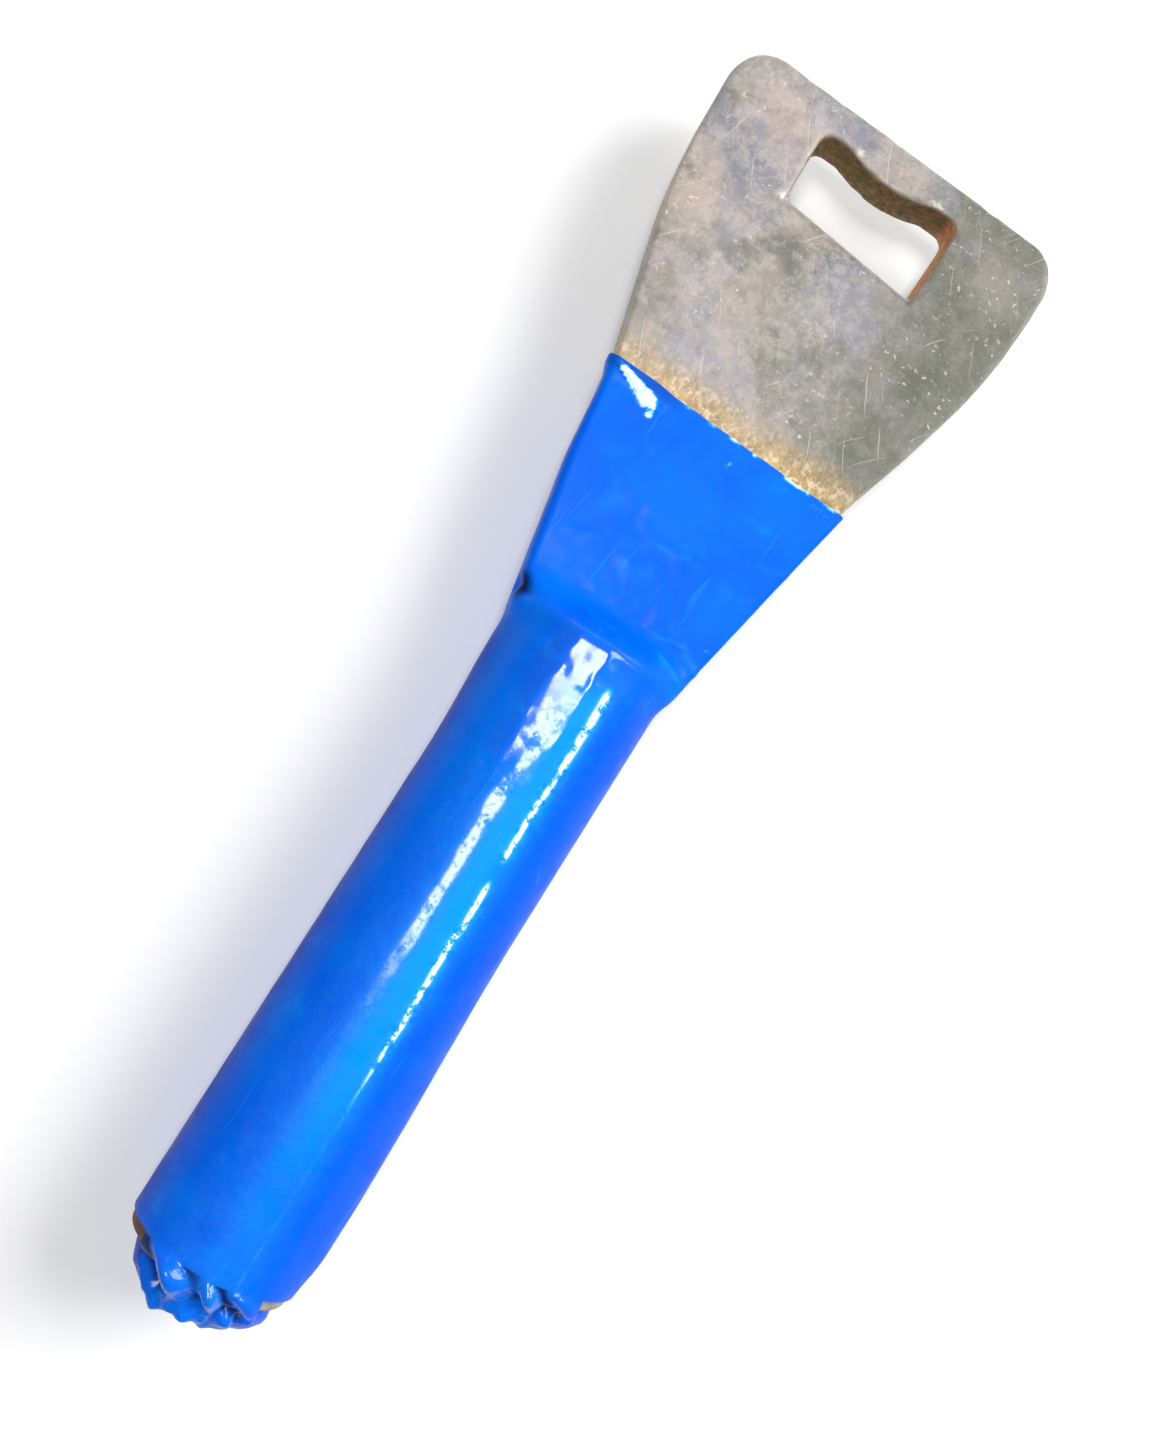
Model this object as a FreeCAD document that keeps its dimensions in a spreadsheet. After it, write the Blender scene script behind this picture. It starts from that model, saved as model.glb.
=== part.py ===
"""Hive tool: a fan-shaped steel head on a round steel tube, with a plastic sleeve over both.

The tool lies flat: +Y runs from the handle towards the tip of the head, +Z is up out of the head's
face, and X is across it. The origin is the middle of the grip, on the tube's axis. Millimetres.
"""
import FreeCAD, Part
import math
import os
import Sketcher

doc = FreeCAD.newDocument("hive_tool")

# ---------------------------------------------------------------- driving dimensions

DIMENSIONS = {
    # handle tube
    "mouth_y": 52.5,
    "tube_end_y": -50.6,
    "tube_radius": 12.7,
    "tube_bore": 10.2,
    "rim_round": 0.9,
    # head plate, in plan: the tang sits in the bore and the shoulders stand on the tube's mouth
    "plate_thickness": 8.0,
    "tang_half": 9.1,
    "tang_length": 30.0,
    "shoulder_half": 13.1,
    "waist_half": 20.95,
    "waist_y": 92.5,
    "flare_half": 28.9,
    "flare_y": 122.6,
    "tip_half": 30.2,
    "tip_left_y": 146.8,
    "tip_right_y": 145.5,
    "left_corner": 7.2,
    "right_corner": 6.0,
    "flare_round": 30.0,
    "shoulder_round": 2.5,
    "worn_edge": 0.5,
    # slot in the head
    "slot_left": 12.6,
    "slot_right": 13.0,
    "slot_foot_left": 12.2,
    "slot_foot_right": 12.6,
    "slot_tip_y": 141.3,
    "slot_foot_left_y": 129.0,
    "slot_foot_right_y": 126.7,
    "tooth_half": 8.0,
    "tooth_height": 1.6,
    "slot_lobe_round": 1.9,
    "slot_foot_round": 1.2,
    # weld beads between the plate's faces and the tube's mouth
    "weld_leg": 4.4,
    "weld_root": 12.4,
    "weld_toe": 6.4,
    # sleeve of shrunk film
    "film": 0.5,
    "film_start_y": -48.5,
    "ramp_start_y": 49.0,
    "ramp_top_y": 52.9,
    "ramp_middle_y": 57.0,
    "ramp_foot_y": 61.0,
    "ramp_top_half": 14.1,
    "ramp_middle_half": 14.7,
    "ramp_middle_rise": 8.4,
    "ramp_middle_round": 4.1,
    "ramp_top_round": 11.7,
    "flat_round": 0.95,
    # film gathered over the open end of the tube
    "tuck_depth": 8.0,
    "tuck_radius": 10.1,
    "tuck_bulge": 7.2,
    "tuck_rim": 12.0,
    "tuck_end": 7.6,
}

sheet = doc.addObject("Spreadsheet::Sheet", "Dims")
for row, (alias, value) in enumerate(DIMENSIONS.items(), start=1):
    sheet.set(f"A{row}", alias)
    sheet.set(f"B{row}", str(value))
    sheet.setAlias(f"B{row}", alias)
doc.recompute()

ROUND_EPS = 0.05            # a near-circle keeps flats this long, so every film section has eight edges
FIT = 0.02                  # slack between the film and the steel under it


# ---------------------------------------------------------------- helpers

def new_body(name):
    body = doc.addObject("PartDesign::Body", name)
    body.Label = name
    return body


def plane_of(body, role):
    return [feature for feature in body.Origin.OriginFeatures if feature.Role == role][0]


def new_sketch(body, name, role):
    sketch = body.newObject("Sketcher::SketchObject", name)
    sketch.AttachmentSupport = [(plane_of(body, role), "")]
    sketch.MapMode = "FlatFace"
    return sketch


def bind(sketch, constraint, name, formula):
    """Add a driving constraint and tie its value to the sheet."""
    index = sketch.addConstraint(constraint)
    sketch.renameConstraint(index, name)
    sketch.setExpression(f"Constraints.{name}", formula)


def value_of(formula):
    """The number that a formula over the sheet's aliases gives now."""
    return float(sheet.evalExpression(formula))


def closed_outline(sketch, corners):
    """Draw straight lines round the corners, each an (x formula, y formula) pair, and bind them."""
    spots = [FreeCAD.Vector(value_of(across), value_of(along), 0) for across, along in corners]
    count = len(spots)
    for index in range(count):
        sketch.addGeometry(Part.LineSegment(spots[index], spots[(index + 1) % count]), False)
    for index in range(count):
        sketch.addConstraint(Sketcher.Constraint("Coincident", index, 2, (index + 1) % count, 1))
    for index, (across, along) in enumerate(corners):
        pin_point(sketch, index, 1, f"corner_{index}", across, along)


def pin_point(sketch, geometry, end, name, across, along):
    """Hold one end of a line at a place given by two formulas."""
    bind(sketch, Sketcher.Constraint("DistanceX", -1, 1, geometry, end, value_of(across)),
         f"{name}_x", across)
    bind(sketch, Sketcher.Constraint("DistanceY", -1, 1, geometry, end, value_of(along)),
         f"{name}_y", along)


def upright_edges(shape, spots, reach=0.6):
    """Names of the edges along Z whose place in plan is near one of the spots."""
    found = []
    for number, edge in enumerate(shape.Edges, start=1):
        first, last = edge.Vertexes[0].Point, edge.Vertexes[-1].Point
        if abs(first.x - last.x) > 1e-4 or abs(first.y - last.y) > 1e-4:
            continue
        for across, along in spots:
            if abs(first.x - across) < reach and abs(first.y - along) < reach:
                found.append(f"Edge{number}")
    return found


def round_uprights(body, name, base, radius_alias, spots):
    """Fillet the upright edges at the given places in plan."""
    doc.recompute()
    names = upright_edges(base.Shape, spots)
    if len(names) != len(spots):
        raise RuntimeError(f"{name}: found {len(names)} edges for {len(spots)} corners")
    fillet = body.newObject("PartDesign::Fillet", name)
    fillet.Base = (base, names)
    fillet.setExpression("Radius", f"Dims.{radius_alias}")
    doc.recompute()
    return fillet


def film_section(body, name, along, half_across, half_up, corner):
    """A rounded rectangle across the tool at one place along it, all sizes as formulas."""
    sketch = new_sketch(body, name, "XZ_Plane")
    sketch.setExpression(".AttachmentOffset.Base.z", f"-({along})")
    wide, tall, bend = value_of(half_across), value_of(half_up), value_of(corner)
    centre_x, centre_z = wide - bend, tall - bend
    up = FreeCAD.Vector(0, 0, 1)
    centres = [(centre_x, centre_z), (-centre_x, centre_z), (-centre_x, -centre_z), (centre_x, -centre_z)]
    starts = [(wide, -centre_z), (centre_x, tall), (-wide, centre_z), (-centre_x, -tall)]
    ends = [(wide, centre_z), (-centre_x, tall), (-wide, -centre_z), (centre_x, -tall)]
    for quarter in range(4):
        first = FreeCAD.Vector(*starts[quarter], 0)
        last = FreeCAD.Vector(*ends[quarter], 0)
        sketch.addGeometry(Part.LineSegment(first, last), False)
        circle = Part.Circle(FreeCAD.Vector(*centres[quarter], 0), up, bend)
        turn = quarter * math.pi / 2
        sketch.addGeometry(Part.ArcOfCircle(circle, turn, turn + math.pi / 2), False)
    for index in range(8):
        sketch.addConstraint(Sketcher.Constraint("Tangent", index, 2, (index + 1) % 8, 1))
    for index, kind in ((0, "Vertical"), (2, "Horizontal"), (4, "Vertical"), (6, "Horizontal")):
        sketch.addConstraint(Sketcher.Constraint(kind, index))
    for index in (3, 5, 7):
        sketch.addConstraint(Sketcher.Constraint("Equal", 1, index))
    bind(sketch, Sketcher.Constraint("Radius", 1, bend), "bend", corner)
    bind(sketch, Sketcher.Constraint("DistanceX", -1, 1, 0, 1, wide), "right", half_across)
    bind(sketch, Sketcher.Constraint("DistanceX", 4, 1, -1, 1, wide), "left", half_across)
    bind(sketch, Sketcher.Constraint("DistanceY", -1, 1, 2, 1, tall), "top", half_up)
    bind(sketch, Sketcher.Constraint("DistanceY", 6, 1, -1, 1, tall), "bottom", half_up)
    return sketch


# ---------------------------------------------------------------- head plate

def make_head_plate():
    body = new_body("head_plate")
    outline = new_sketch(body, "plate_outline", "XY_Plane")
    mouth = "Dims.mouth_y"
    closed_outline(outline, [
        ("-Dims.tang_half", f"{mouth} - Dims.tang_length"),
        ("Dims.tang_half", f"{mouth} - Dims.tang_length"),
        ("Dims.tang_half", mouth),
        ("Dims.shoulder_half", mouth),
        ("Dims.waist_half", "Dims.waist_y"),
        ("Dims.flare_half", "Dims.flare_y"),
        ("Dims.tip_half", "Dims.tip_right_y"),
        ("-Dims.tip_half", "Dims.tip_left_y"),
        ("-Dims.flare_half", "Dims.flare_y"),
        ("-Dims.waist_half", "Dims.waist_y"),
        ("-Dims.shoulder_half", mouth),
        ("-Dims.tang_half", mouth),
    ])
    plate = body.newObject("PartDesign::Pad", "plate")
    plate.Profile = outline
    plate.SideType = "Symmetric"
    plate.setExpression("Length", "Dims.plate_thickness")

    size = DIMENSIONS
    turn = round_uprights(body, "flare_rounding", plate, "flare_round",
                          [(size["flare_half"], size["flare_y"]), (-size["flare_half"], size["flare_y"])])
    turn = round_uprights(body, "left_corner_rounding", turn, "left_corner",
                          [(-size["tip_half"], size["tip_left_y"])])
    turn = round_uprights(body, "right_corner_rounding", turn, "right_corner",
                          [(size["tip_half"], size["tip_right_y"])])
    shoulders = [(size["shoulder_half"], size["mouth_y"]), (-size["shoulder_half"], size["mouth_y"])]
    turn = round_uprights(body, "shoulder_rounding", turn, "shoulder_round", shoulders)

    slot = slot_sketch(body)
    before = turn.Shape.Volume
    opening = body.newObject("PartDesign::Pocket", "slot")
    opening.Profile = slot
    opening.Type = "ThroughAll"
    opening.SideType = "Symmetric"
    doc.recompute()
    cut = before - opening.Shape.Volume
    slot_height = size["slot_tip_y"] - size["slot_foot_left_y"]
    full = 2 * size["slot_foot_left"] * slot_height * size["plate_thickness"]
    if not 0.7 * full < cut < 1.3 * full:
        raise RuntimeError(f"the slot took {cut:.0f} mm3 out of the plate")
    lobes = [(-size["slot_left"], size["slot_tip_y"]), (size["slot_right"], size["slot_tip_y"])]
    feet = [(-size["slot_foot_left"], size["slot_foot_left_y"]),
            (size["slot_foot_right"], size["slot_foot_right_y"])]
    turn = round_uprights(body, "slot_lobe_rounding", opening, "slot_lobe_round", lobes)
    turn = round_uprights(body, "slot_foot_rounding", turn, "slot_foot_round", feet)
    wear_edges(body, turn)
    return body


def slot_sketch(body):
    """The slot: straight foot, two lobes at the tip side and a low convex tooth between them."""
    sketch = new_sketch(body, "slot_outline", "XY_Plane")
    corners = [
        ("-Dims.slot_left", "Dims.slot_tip_y"),
        ("-Dims.slot_foot_left", "Dims.slot_foot_left_y"),
        ("Dims.slot_foot_right", "Dims.slot_foot_right_y"),
        ("Dims.slot_right", "Dims.slot_tip_y"),
        ("Dims.tooth_half", "Dims.slot_tip_y"),
        ("-Dims.tooth_half", "Dims.slot_tip_y"),
    ]
    spots = [FreeCAD.Vector(value_of(across), value_of(along), 0) for across, along in corners]
    for index in range(4):
        sketch.addGeometry(Part.LineSegment(spots[index], spots[index + 1]), False)
    # the tooth is an arc about a centre beyond the tip, so its own start is its left end
    rise, half = DIMENSIONS["tooth_height"], DIMENSIONS["tooth_half"]
    radius = (half ** 2 + rise ** 2) / (2 * rise)
    centre = FreeCAD.Vector(0, spots[4].y - rise + radius, 0)
    reach = math.asin(half / radius)
    circle = Part.Circle(centre, FreeCAD.Vector(0, 0, 1), radius)
    sketch.addGeometry(Part.ArcOfCircle(circle, 1.5 * math.pi - reach, 1.5 * math.pi + reach), False)
    sketch.addGeometry(Part.LineSegment(spots[5], spots[0]), False)
    for index in range(3):
        sketch.addConstraint(Sketcher.Constraint("Coincident", index, 2, index + 1, 1))
    sketch.addConstraint(Sketcher.Constraint("Coincident", 5, 2, 0, 1))
    sketch.addConstraint(Sketcher.Constraint("Coincident", 3, 2, 4, 2))
    sketch.addConstraint(Sketcher.Constraint("Coincident", 5, 1, 4, 1))
    for index in range(4):
        pin_point(sketch, index, 1, f"corner_{index}", *corners[index])
    pin_point(sketch, 3, 2, "tooth_right", *corners[4])
    pin_point(sketch, 5, 1, "tooth_left", *corners[5])
    bind(sketch, Sketcher.Constraint("Radius", 4, radius), "tooth_radius",
         "(Dims.tooth_half ^ 2 + Dims.tooth_height ^ 2) / (2 * Dims.tooth_height)")
    return sketch


def wear_edges(body, base):
    """Take the sharpness off the outline of the head and of the slot, on both faces."""
    half = DIMENSIONS["plate_thickness"] / 2
    clear_of_tang = DIMENSIONS["mouth_y"] + DIMENSIONS["shoulder_round"]
    names = []
    for number, edge in enumerate(base.Shape.Edges, start=1):
        box = edge.BoundBox
        flat = box.ZLength < 1e-4 and abs(abs(box.ZMin) - half) < 1e-4
        if flat and box.YMax > clear_of_tang + 1.0:
            names.append(f"Edge{number}")
    fillet = body.newObject("PartDesign::Fillet", "worn_edges")
    fillet.Base = (base, names)
    fillet.setExpression("Radius", "Dims.worn_edge")
    doc.recompute()


# ---------------------------------------------------------------- handle tube

def make_handle_tube():
    body = new_body("handle_tube")
    ring = new_sketch(body, "tube_ring", "XZ_Plane")
    ring.setExpression(".AttachmentOffset.Base.z", "-Dims.tube_end_y")
    for index, alias in enumerate(("tube_radius", "tube_bore")):
        circle = Part.Circle(FreeCAD.Vector(0, 0, 0), FreeCAD.Vector(0, 0, 1), DIMENSIONS[alias])
        ring.addGeometry(circle, False)
        ring.addConstraint(Sketcher.Constraint("Coincident", index, 3, -1, 1))
        bind(ring, Sketcher.Constraint("Radius", index, DIMENSIONS[alias]), alias, f"Dims.{alias}")
    wall = body.newObject("PartDesign::Pad", "tube_wall")
    wall.Profile = ring
    wall.Reversed = True
    wall.setExpression("Length", "Dims.mouth_y - Dims.tube_end_y")
    doc.recompute()
    # the cut end is deburred, inside and outside
    end_y = DIMENSIONS["tube_end_y"]
    names = [f"Edge{number}" for number, edge in enumerate(wall.Shape.Edges, start=1)
             if edge.BoundBox.YLength < 1e-4 and abs(edge.BoundBox.YMin - end_y) < 1e-4]
    deburr = body.newObject("PartDesign::Fillet", "deburred_end")
    deburr.Base = (wall, names)
    deburr.setExpression("Radius", "Dims.rim_round")
    return body


# ---------------------------------------------------------------- weld beads

def make_weld(name, side):
    """One bead: a cone on the tube's mouth, kept only beyond one face of the plate."""
    cone = doc.addObject("Part::Cone", f"{name}_cone")
    cone.setExpression("Radius1", "Dims.weld_root")
    cone.setExpression("Radius2", "Dims.weld_toe")
    cone.setExpression("Height", "Dims.weld_leg")
    lying = FreeCAD.Rotation(FreeCAD.Vector(1, 0, 0), -90)
    cone.Placement = FreeCAD.Placement(FreeCAD.Vector(0, 0, 0), lying)
    cone.setExpression(".Placement.Base.y", "Dims.mouth_y")
    space = doc.addObject("Part::Box", f"{name}_space")
    for size_name in ("Length", "Width", "Height"):
        space.setExpression(size_name, "Dims.tube_radius * 4")
    space.setExpression(".Placement.Base.x", "-Dims.tube_radius * 2")
    space.setExpression(".Placement.Base.y", "Dims.mouth_y - Dims.tube_radius")
    if side > 0:
        space.setExpression(".Placement.Base.z", "Dims.plate_thickness / 2")
    else:
        space.setExpression(".Placement.Base.z", "-Dims.plate_thickness / 2 - Dims.tube_radius * 4")
    bead = doc.addObject("Part::Common", name)
    bead.Label = name
    bead.Base = cone
    bead.Tool = space
    return bead


# ---------------------------------------------------------------- sleeve

def film_stations(inset):
    """Film sections from the handle's end to the head, drawn in by the inset for the inner face."""
    round_half = f"Dims.tube_radius + Dims.film - {inset}"
    flat_half = f"Dims.plate_thickness / 2 + Dims.film - {inset}"
    edge_half = f"Dims.waist_half + Dims.film - {inset}"
    foot_share = "(Dims.ramp_foot_y - Dims.mouth_y) / (Dims.waist_y - Dims.mouth_y)"
    foot_half = (f"Dims.shoulder_half + (Dims.waist_half - Dims.shoulder_half) * {foot_share}"
                 f" + Dims.film - {inset}")
    return [
        ("Dims.film_start_y", round_half, round_half, f"{round_half} - {ROUND_EPS}"),
        ("Dims.ramp_start_y", round_half, round_half, f"{round_half} - {ROUND_EPS}"),
        ("Dims.ramp_top_y", f"Dims.ramp_top_half - {inset}", f"{round_half} + {ROUND_EPS}",
         f"Dims.ramp_top_round - {inset}"),
        ("Dims.ramp_middle_y", f"Dims.ramp_middle_half - {inset}", f"Dims.ramp_middle_rise - {inset}",
         f"Dims.ramp_middle_round - {inset}"),
        ("Dims.ramp_foot_y", foot_half, flat_half, f"Dims.flat_round - {inset}"),
        ("Dims.waist_y", edge_half, flat_half, f"Dims.flat_round - {inset}"),
    ]


def make_grip_sleeve():
    body = new_body("grip_sleeve")
    outer = [film_section(body, f"outside_{index}", *station)
             for index, station in enumerate(film_stations("0"))]
    film = body.newObject("PartDesign::AdditiveLoft", "film_outside")
    film.Profile = outer[0]
    film.Sections = outer[1:]
    film.Ruled = True
    doc.recompute()
    solid = film.Shape.Volume
    inner = [film_section(body, f"inside_{index}", *station)
             for index, station in enumerate(film_stations(f"(Dims.film - {FIT})"))]
    hollow = body.newObject("PartDesign::SubtractiveLoft", "film_inside")
    hollow.Profile = inner[0]
    hollow.Sections = inner[1:]
    hollow.Ruled = True
    doc.recompute()
    if hollow.Shape.Volume > solid * 0.2:
        raise RuntimeError("the sleeve was not hollowed")
    return body


def make_sleeve_end():
    """The film's gathered end: a plug of folds in the tube's mouth that bulges out past it."""
    body = new_body("sleeve_end")
    profile = new_sketch(body, "gathered_profile", "XY_Plane")
    end = "Dims.tube_end_y"
    closed_outline(profile, [
        ("0", f"{end} + Dims.tuck_depth"),
        ("0", f"{end} - Dims.tuck_bulge"),
        ("Dims.tuck_end", f"{end} - Dims.tuck_bulge"),
        ("Dims.tuck_rim - 0.6", f"{end} - Dims.tuck_bulge / 2"),
        ("Dims.tuck_rim", end),
        ("Dims.tuck_radius - Dims.rim_round", end),
        ("Dims.tuck_radius - Dims.rim_round", f"{end} + Dims.tuck_depth"),
    ])
    gathered = body.newObject("PartDesign::Revolution", "gathered_film")
    gathered.Profile = profile
    gathered.ReferenceAxis = (profile, ["V_Axis"])
    gathered.Angle = 360.0
    return body


# ---------------------------------------------------------------- build, check, write

sub_parts = [
    make_head_plate(),
    make_handle_tube(),
    make_weld("weld_front", 1),
    make_weld("weld_back", -1),
    make_grip_sleeve(),
    make_sleeve_end(),
]
doc.recompute()

for item in doc.Objects:
    if "Invalid" in item.State or "Error" in item.State:
        raise RuntimeError(f"{item.Name} did not recompute: {item.State}")
for part in sub_parts:
    shape = part.Shape
    if shape.isNull() or not shape.isValid() or len(shape.Solids) != 1:
        raise RuntimeError(f"{part.Label} is not one valid solid")

os.makedirs("parts", exist_ok=True)
for part in sub_parts:
    part.Shape.exportStep(f"parts/{part.Label}.step")
    box = part.Shape.BoundBox
    print(f"{part.Label}: {part.Shape.Volume:.0f} mm3, x {box.XMin:.1f}..{box.XMax:.1f}, "
          f"y {box.YMin:.1f}..{box.YMax:.1f}, z {box.ZMin:.1f}..{box.ZMax:.1f}")
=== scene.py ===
# %% [markdown]
# # Hive tool: a steel head, a steel tube and a shrunk blue sleeve
# The tool is a flat fan-shaped head on a round tube, with a bright blue film shrunk over both.
# Each step below says what a piece is on the real tool, how it could be made and why it is made
# this way. The CAD model of the tool is loaded first and never changed. The new pieces stand for
# the CAD solids that are too plain to show.

import math

import bmesh
import bpy
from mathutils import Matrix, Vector, noise


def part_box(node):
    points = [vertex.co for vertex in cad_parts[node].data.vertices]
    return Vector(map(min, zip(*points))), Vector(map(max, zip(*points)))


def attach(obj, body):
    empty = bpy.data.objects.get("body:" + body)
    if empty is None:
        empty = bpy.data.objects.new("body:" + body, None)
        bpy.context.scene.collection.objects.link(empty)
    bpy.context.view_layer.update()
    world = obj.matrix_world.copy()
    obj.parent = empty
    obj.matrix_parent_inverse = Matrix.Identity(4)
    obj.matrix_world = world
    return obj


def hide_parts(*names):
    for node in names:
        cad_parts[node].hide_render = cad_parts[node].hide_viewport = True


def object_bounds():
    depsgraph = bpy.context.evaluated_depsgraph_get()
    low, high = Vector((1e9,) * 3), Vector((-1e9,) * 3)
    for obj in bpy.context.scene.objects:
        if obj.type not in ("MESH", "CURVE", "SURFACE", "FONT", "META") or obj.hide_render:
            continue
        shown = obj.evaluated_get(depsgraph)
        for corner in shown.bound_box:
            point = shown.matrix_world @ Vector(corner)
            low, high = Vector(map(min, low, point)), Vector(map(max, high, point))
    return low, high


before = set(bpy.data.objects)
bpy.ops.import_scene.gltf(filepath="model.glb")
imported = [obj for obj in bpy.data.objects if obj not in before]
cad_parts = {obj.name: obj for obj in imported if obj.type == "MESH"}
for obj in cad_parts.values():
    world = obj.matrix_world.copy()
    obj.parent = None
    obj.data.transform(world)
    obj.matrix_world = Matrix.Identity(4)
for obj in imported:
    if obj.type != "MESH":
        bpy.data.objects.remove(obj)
cad_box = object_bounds()
MM = 0.001
head_low, head_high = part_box("head_plate")
film_low, film_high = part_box("grip_sleeve")
tube_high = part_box("handle_tube")[1]
print("frame nodes:", sorted(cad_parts))

# %% [markdown]
# ## Small helpers
# An operator works on whatever is selected, so each step first clears the selection and then picks
# its faces, edges or corners in code, by their place. These helpers do that picking.

# %% Helpers for selecting and shaping
def only(piece):
    """Select one object and nothing else."""
    if bpy.context.object and bpy.context.object.mode != "OBJECT":
        bpy.ops.object.mode_set(mode="OBJECT")
    bpy.ops.object.select_all(action="DESELECT")
    piece.select_set(True)
    bpy.context.view_layer.objects.active = piece


def pick(piece, kind, test):
    """Enter edit mode with only the wanted corners, edges or faces selected."""
    only(piece)
    bpy.ops.object.mode_set(mode="EDIT")
    bpy.ops.mesh.select_mode(type=kind)
    bpy.ops.mesh.select_all(action="DESELECT")
    mesh = bmesh.from_edit_mesh(piece.data)
    members = {"VERT": mesh.verts, "EDGE": mesh.edges, "FACE": mesh.faces}[kind]
    for member in members:
        if test(member):
            member.select_set(True)
    mesh.select_flush_mode()
    bmesh.update_edit_mesh(piece.data)


def done():
    bpy.ops.object.mode_set(mode="OBJECT")


def settle(piece):
    """Put the object's place, turn and size into its mesh."""
    only(piece)
    bpy.ops.object.transform_apply(location=True, rotation=True, scale=True)


def finish_with(piece, name, kind, **settings):
    """Add a modifier with the given settings and apply it."""
    only(piece)
    step = piece.modifiers.new(name, kind)
    for key, value in settings.items():
        setattr(step, key, value)
    bpy.ops.object.modifier_apply(modifier=step.name)


def smoothstep(low, high, value):
    """0 below the low value, 1 above the high one, and a soft step between."""
    share = min(max((value - low) / (high - low), 0.0), 1.0)
    return share * share * (3.0 - 2.0 * share)


def hump(value, rise, fall):
    """1 between two soft steps and 0 outside: up over the first range, down over the second."""
    return smoothstep(*rise, value) * (1 - smoothstep(*fall, value))


# %% [markdown]
# ## Camera
# The tool lies on its back and is seen from almost straight above the middle of the handle, with
# the head towards the upper right. The camera is a hand's breadth away, so the near parts of the
# round handle look a little larger and the far wall of the slot shows.

# %% Camera
CAMERA_AT = (-17.2 * MM, 21.5 * MM, 217.1 * MM)
CAMERA_TURN = (1.77, -8.02, 32.33)
LENS = 35.88

bpy.ops.object.camera_add(location=CAMERA_AT, rotation=[math.radians(turn) for turn in CAMERA_TURN])
camera = bpy.context.object
camera.data.lens = LENS
camera.data.sensor_width = 36.0
bpy.context.scene.camera = camera
print("camera at", [round(value / MM, 1) for value in CAMERA_AT], "mm")

# %% [markdown]
# ## Floor and light
# A pale floor and a soft white room keep the colours plain. The glossy handle mirrors a soft light
# almost overhead as a white streak, and a large soft light fills from the tip's side. The film
# bulges a little below the CAD model here and there, so the floor lies just under it.

# %% Floor
FLOOR_SIZE = 4.0
FLOOR_GAP = 0.5 * MM
floor_height = cad_box[0].z - FLOOR_GAP
bpy.ops.mesh.primitive_plane_add(size=FLOOR_SIZE, location=(0, 0, floor_height))
floor = bpy.context.object
floor.name = "floor"
settle(floor)
floor_paint = bpy.data.materials.new("pale_floor")
floor_paint.use_nodes = True
floor_shader = floor_paint.node_tree.nodes["Principled BSDF"]
floor_shader.inputs["Base Color"].default_value = (0.95, 0.95, 0.95, 1)
floor_shader.inputs["Roughness"].default_value = 0.9
floor.data.materials.append(floor_paint)
print("floor at", round(floor_height / MM, 2), "mm")

# %% Lights
# a light: name, place, the spot that it faces, width and length in metres, watts
LIGHTS = [
    ("streak_light", (-0.10, 0.09, 1.0), (-0.10, 0.09, 0), 0.24, 0.36, 6.0),
    ("fill_light", (0.90, 0.95, 1.02), (0, 0.02, 0), 0.9, 0.9, 24.0),
]
WORLD_STRENGTH = 0.18


def soft_light(name, place, aim, width, length, watts):
    bpy.ops.object.light_add(type="AREA", location=place)
    lamp = bpy.context.object
    lamp.name = name
    lamp.data.shape = "RECTANGLE"
    lamp.data.size = width
    lamp.data.size_y = length
    lamp.data.energy = watts
    lamp.rotation_euler = (Vector(aim) - Vector(place)).to_track_quat("-Z", "Y").to_euler()


for light in LIGHTS:
    soft_light(*light)
world = bpy.data.worlds.new("studio")
bpy.context.scene.world = world
world.use_nodes = True
background = world.node_tree.nodes["Background"]
background.inputs["Color"].default_value = (1, 1, 1, 1)
background.inputs["Strength"].default_value = WORLD_STRENGTH
bpy.context.scene.view_settings.view_transform = "Standard"
print("lights:", [light[0] for light in LIGHTS])

# %% [markdown]
# ## Head, step 1: the blank
# The real head is cut and ground from 8 mm plate. It could be drawn as an outline and extruded,
# but a box is easier to follow: it gets a cut across at each place where the width changes, each
# cut is then widened or narrowed, and the corners are rounded with a bevel.

# %% Head blank
HALF_PLATE = head_high.z
MOUTH_Y = tube_high.y
SHOULDER_HALF = 13.1 * MM
WAIST_HALF, WAIST_Y = 20.95 * MM, 92.5 * MM
FLARE_HALF, FLARE_Y = 28.9 * MM, 122.6 * MM
TIP_HALF = 30.2 * MM
TIP_LEFT_Y, TIP_RIGHT_Y = 146.8 * MM, 145.5 * MM
tip_y = (TIP_LEFT_Y + TIP_RIGHT_Y) / 2
SAME = 0.01 * MM  # places closer together than this count as one
CORNER_REACH = 0.1 * MM


def bisect_across(piece, along):
    pick(piece, "FACE", lambda face: True)
    bpy.ops.mesh.bisect(plane_co=(0, along, 0), plane_no=(0, 1, 0))
    done()


def widen(piece, along, factor):
    """Scale the corners at one place along the tool, across it only."""
    pick(piece, "VERT", lambda vert: abs(vert.co.y - along) < SAME)
    bpy.ops.transform.resize(value=(factor, 1, 1), center_override=(0, along, 0))
    done()


bpy.ops.mesh.primitive_cube_add(size=1.0, location=(0, (MOUTH_Y + tip_y) / 2, 0))
head = bpy.context.object
head.name = "head"
head.dimensions = (2 * TIP_HALF, tip_y - MOUTH_Y, 2 * HALF_PLATE)
settle(head)
for cut in (WAIST_Y, FLARE_Y):
    bisect_across(head, cut)
for cut, half in ((MOUTH_Y, SHOULDER_HALF), (WAIST_Y, WAIST_HALF), (FLARE_Y, FLARE_HALF)):
    widen(head, cut, half / TIP_HALF)
for side, end in ((-1, TIP_LEFT_Y), (1, TIP_RIGHT_Y)):
    pick(head, "VERT", lambda vert: vert.co.y > tip_y - CORNER_REACH and side * vert.co.x > 0)
    bpy.ops.transform.translate(value=(0, end - tip_y, 0))
    done()
print("head blank:", len(head.data.vertices), "corners")

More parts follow.
